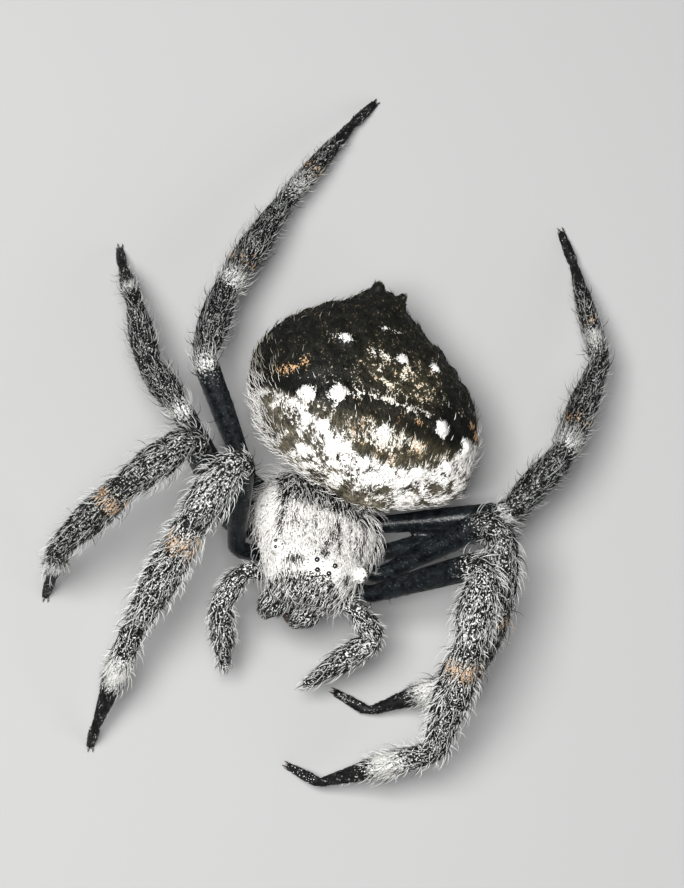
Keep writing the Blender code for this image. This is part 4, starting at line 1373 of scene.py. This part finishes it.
def make_fangs(finish):
    for side in SIDES:
        points = [FORE @ mirrored(p, side) for p in FANG_PATH]
        mesh = outward_faces(joined([horn(points, FANG_RADII, 20)]))
        mesh.materials.append(finish)
        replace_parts(piece(f"hooked_fang_{side}", mesh), f"fang_{side}")


def make_claws(finish):
    """Two hooks on each foot."""
    parts = []
    for side in SIDES:
        for number in LEG_SIZES:
            point, tangent = leg_lines(side, number)[TARSUS][-1]
            point = SHIFT.to_3x3() @ point
            level = Vector((tangent.x, tangent.y, 0)).normalized()
            across = level.cross(Vector((0, 0, 1)))
            for hand in (-1, 1):
                path = [point]
                for forward, out, up in CLAW_STEPS:
                    path.append(path[-1] + level * forward + across * hand * out + Vector((0, 0, up)))
                parts.append(horn(path[1:], CLAW_RADII, 8))
    mesh = outward_faces(joined(parts))
    mesh.materials.append(finish)
    piece("claws", mesh)


# ---- stage ------------------------------------------------------------------------------------

CAMERA_AZIMUTH = -48.4
CAMERA_ELEVATION = 77.4
CAMERA_ROLL = 63.4
CAMERA_PLACE = (-36.37, -30.71, 225.61)
CAMERA_REACH = (0.01, 2)
LENS = 169.9
FLOOR_SIZE = 0.6        # metres, as are the lights' places and sizes
FLOOR_COLOUR = (0.30, 0.30, 0.297)
LIGHTS = {              # place, size and power
    "key": ((-0.07, -0.02, 0.222), 0.09, 1.15), "fill": ((0.14, -0.08, 0.15), 0.16, 0.14),
}
SKY_COLOUR = (0.9, 0.94, 1, 1)
SKY_STRENGTH = 0.10


def make_camera():
    azimuth, elevation = radians(CAMERA_AZIMUTH), radians(CAMERA_ELEVATION)
    back = Vector((sin(azimuth) * cos(elevation), -cos(azimuth) * cos(elevation), sin(elevation)))
    data = bpy.data.cameras.new("camera")
    data.lens = LENS
    data.clip_start, data.clip_end = CAMERA_REACH
    camera = put("camera", data)
    rotation = (-back).to_track_quat("-Z", "Y").to_matrix().to_4x4() @ turn("Z", CAMERA_ROLL)
    camera.matrix_world = Matrix.Translation((SHIFT @ Vector(CAMERA_PLACE)) * MM) @ rotation
    bpy.context.scene.camera = camera


def make_floor():
    made, _, surface = surface_material("floor")
    surface.inputs["Base Color"].default_value = (*FLOOR_COLOUR, 1)
    surface.inputs["Roughness"].default_value = 0.8
    bm = bmesh.new()
    bmesh.ops.create_grid(bm, size=FLOOR_SIZE)
    mesh = poured(bm, bpy.data.meshes.new("floor"))
    mesh.materials.append(made)
    floor = put("floor", mesh)


def make_light(name, place, size, power):
    data = bpy.data.lights.new(name, "AREA")
    data.size = size
    data.energy = power
    light = put(name, data)
    light.location = place
    light.rotation_euler = (-Vector(place)).to_track_quat("-Z", "Y").to_euler()


def make_stage():
    make_floor()
    make_camera()
    for name, light in LIGHTS.items():
        make_light(name, *light)
    world = bpy.data.worlds.new("world")
    world.use_nodes = True
    background = world.node_tree.nodes["Background"]
    background.inputs["Color"].default_value = SKY_COLOUR
    background.inputs["Strength"].default_value = SKY_STRENGTH
    bpy.context.scene.world = world
    bpy.context.scene.view_settings.view_transform = "Standard"


# ---- the spider -------------------------------------------------------------------------------

def make_skin(skin, markings):
    for name, values in skin.painted.items():
        store_values(skin.mesh, name, values)
    store_values(skin.mesh, "root", skin.place)
    skin.mesh.materials.clear()
    skin.mesh.materials.append(skin_material(markings))
    made = piece("skin", skin.mesh)
    flesh = [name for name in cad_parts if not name.startswith(("eye_", "fang_"))]
    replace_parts(made, *flesh)


def make_coats(skin, markings):
    down, bristle = make_tuft("down_tuft", 2), make_tuft("bristle_tuft", 4)
    soft = (down, coat_material("down", markings, 0.55))
    glossy = (bristle, coat_material("bristles", markings, 0.35))
    limbs, fringe = down_on_limbs(skin), bristles_on_limbs(skin)
    for side in SIDES:
        legs = {f"{side}_leg_{number}": number for number in LEG_SIZES}
        palp = f"{side}_palp"
        for name, seed in {**legs, palp: 11}.items():
            grow(f"down_{name}", skin, skin.on(name), limbs, *soft, 22, 0.2, seed)
        grow(f"bristles_{side}_limbs", skin, skin.on(palp, *legs), fringe, *glossy, 30, 0.25, 12)
    fore, hind = down_on_fore_body(skin), down_on_abdomen(skin)
    upper = skin.hind[:, 2] > UPPER_HALF
    lower = skin.on("abdomen", "pedicel", "spinnerets") & ~upper
    for name, chosen, coat, kind, spread_and_curl, seed in (
            ("down_carapace", skin.on("carapace"), fore, soft, (16, 0.15), 13),
            ("down_under_fore_body", skin.on(*JAWS, "sternum"), fore, soft, (20, 0.2), 14),
            ("down_abdomen_upper", skin.on("abdomen") & upper, hind, soft, (24, 0.2), 15),
            ("down_abdomen_lower", lower, hind, soft, (24, 0.2), 16),
            ("bristles_body", skin.on("abdomen", "carapace"), bristles_on_body(skin), glossy,
             (25, 0.2), 17)):
        grow(name, skin, chosen, coat, *kind, *spread_and_curl, seed)
    for tuft in (down, bristle):
        bpy.data.objects.remove(tuft)


markings = markings_group()
TREE = coat_tree()
make_stage()
skin = Skin(make_forms())
paint(skin)
make_skin(skin, markings)
make_coats(skin, markings)
make_eyes(plain_material("eye", (0.006, 0.005, 0.005), 0.1, 1.0))
make_fangs(plain_material("fang", (0.05, 0.02, 0.012), 0.2))
make_claws(plain_material("claw", (0.03, 0.018, 0.012), 0.25))
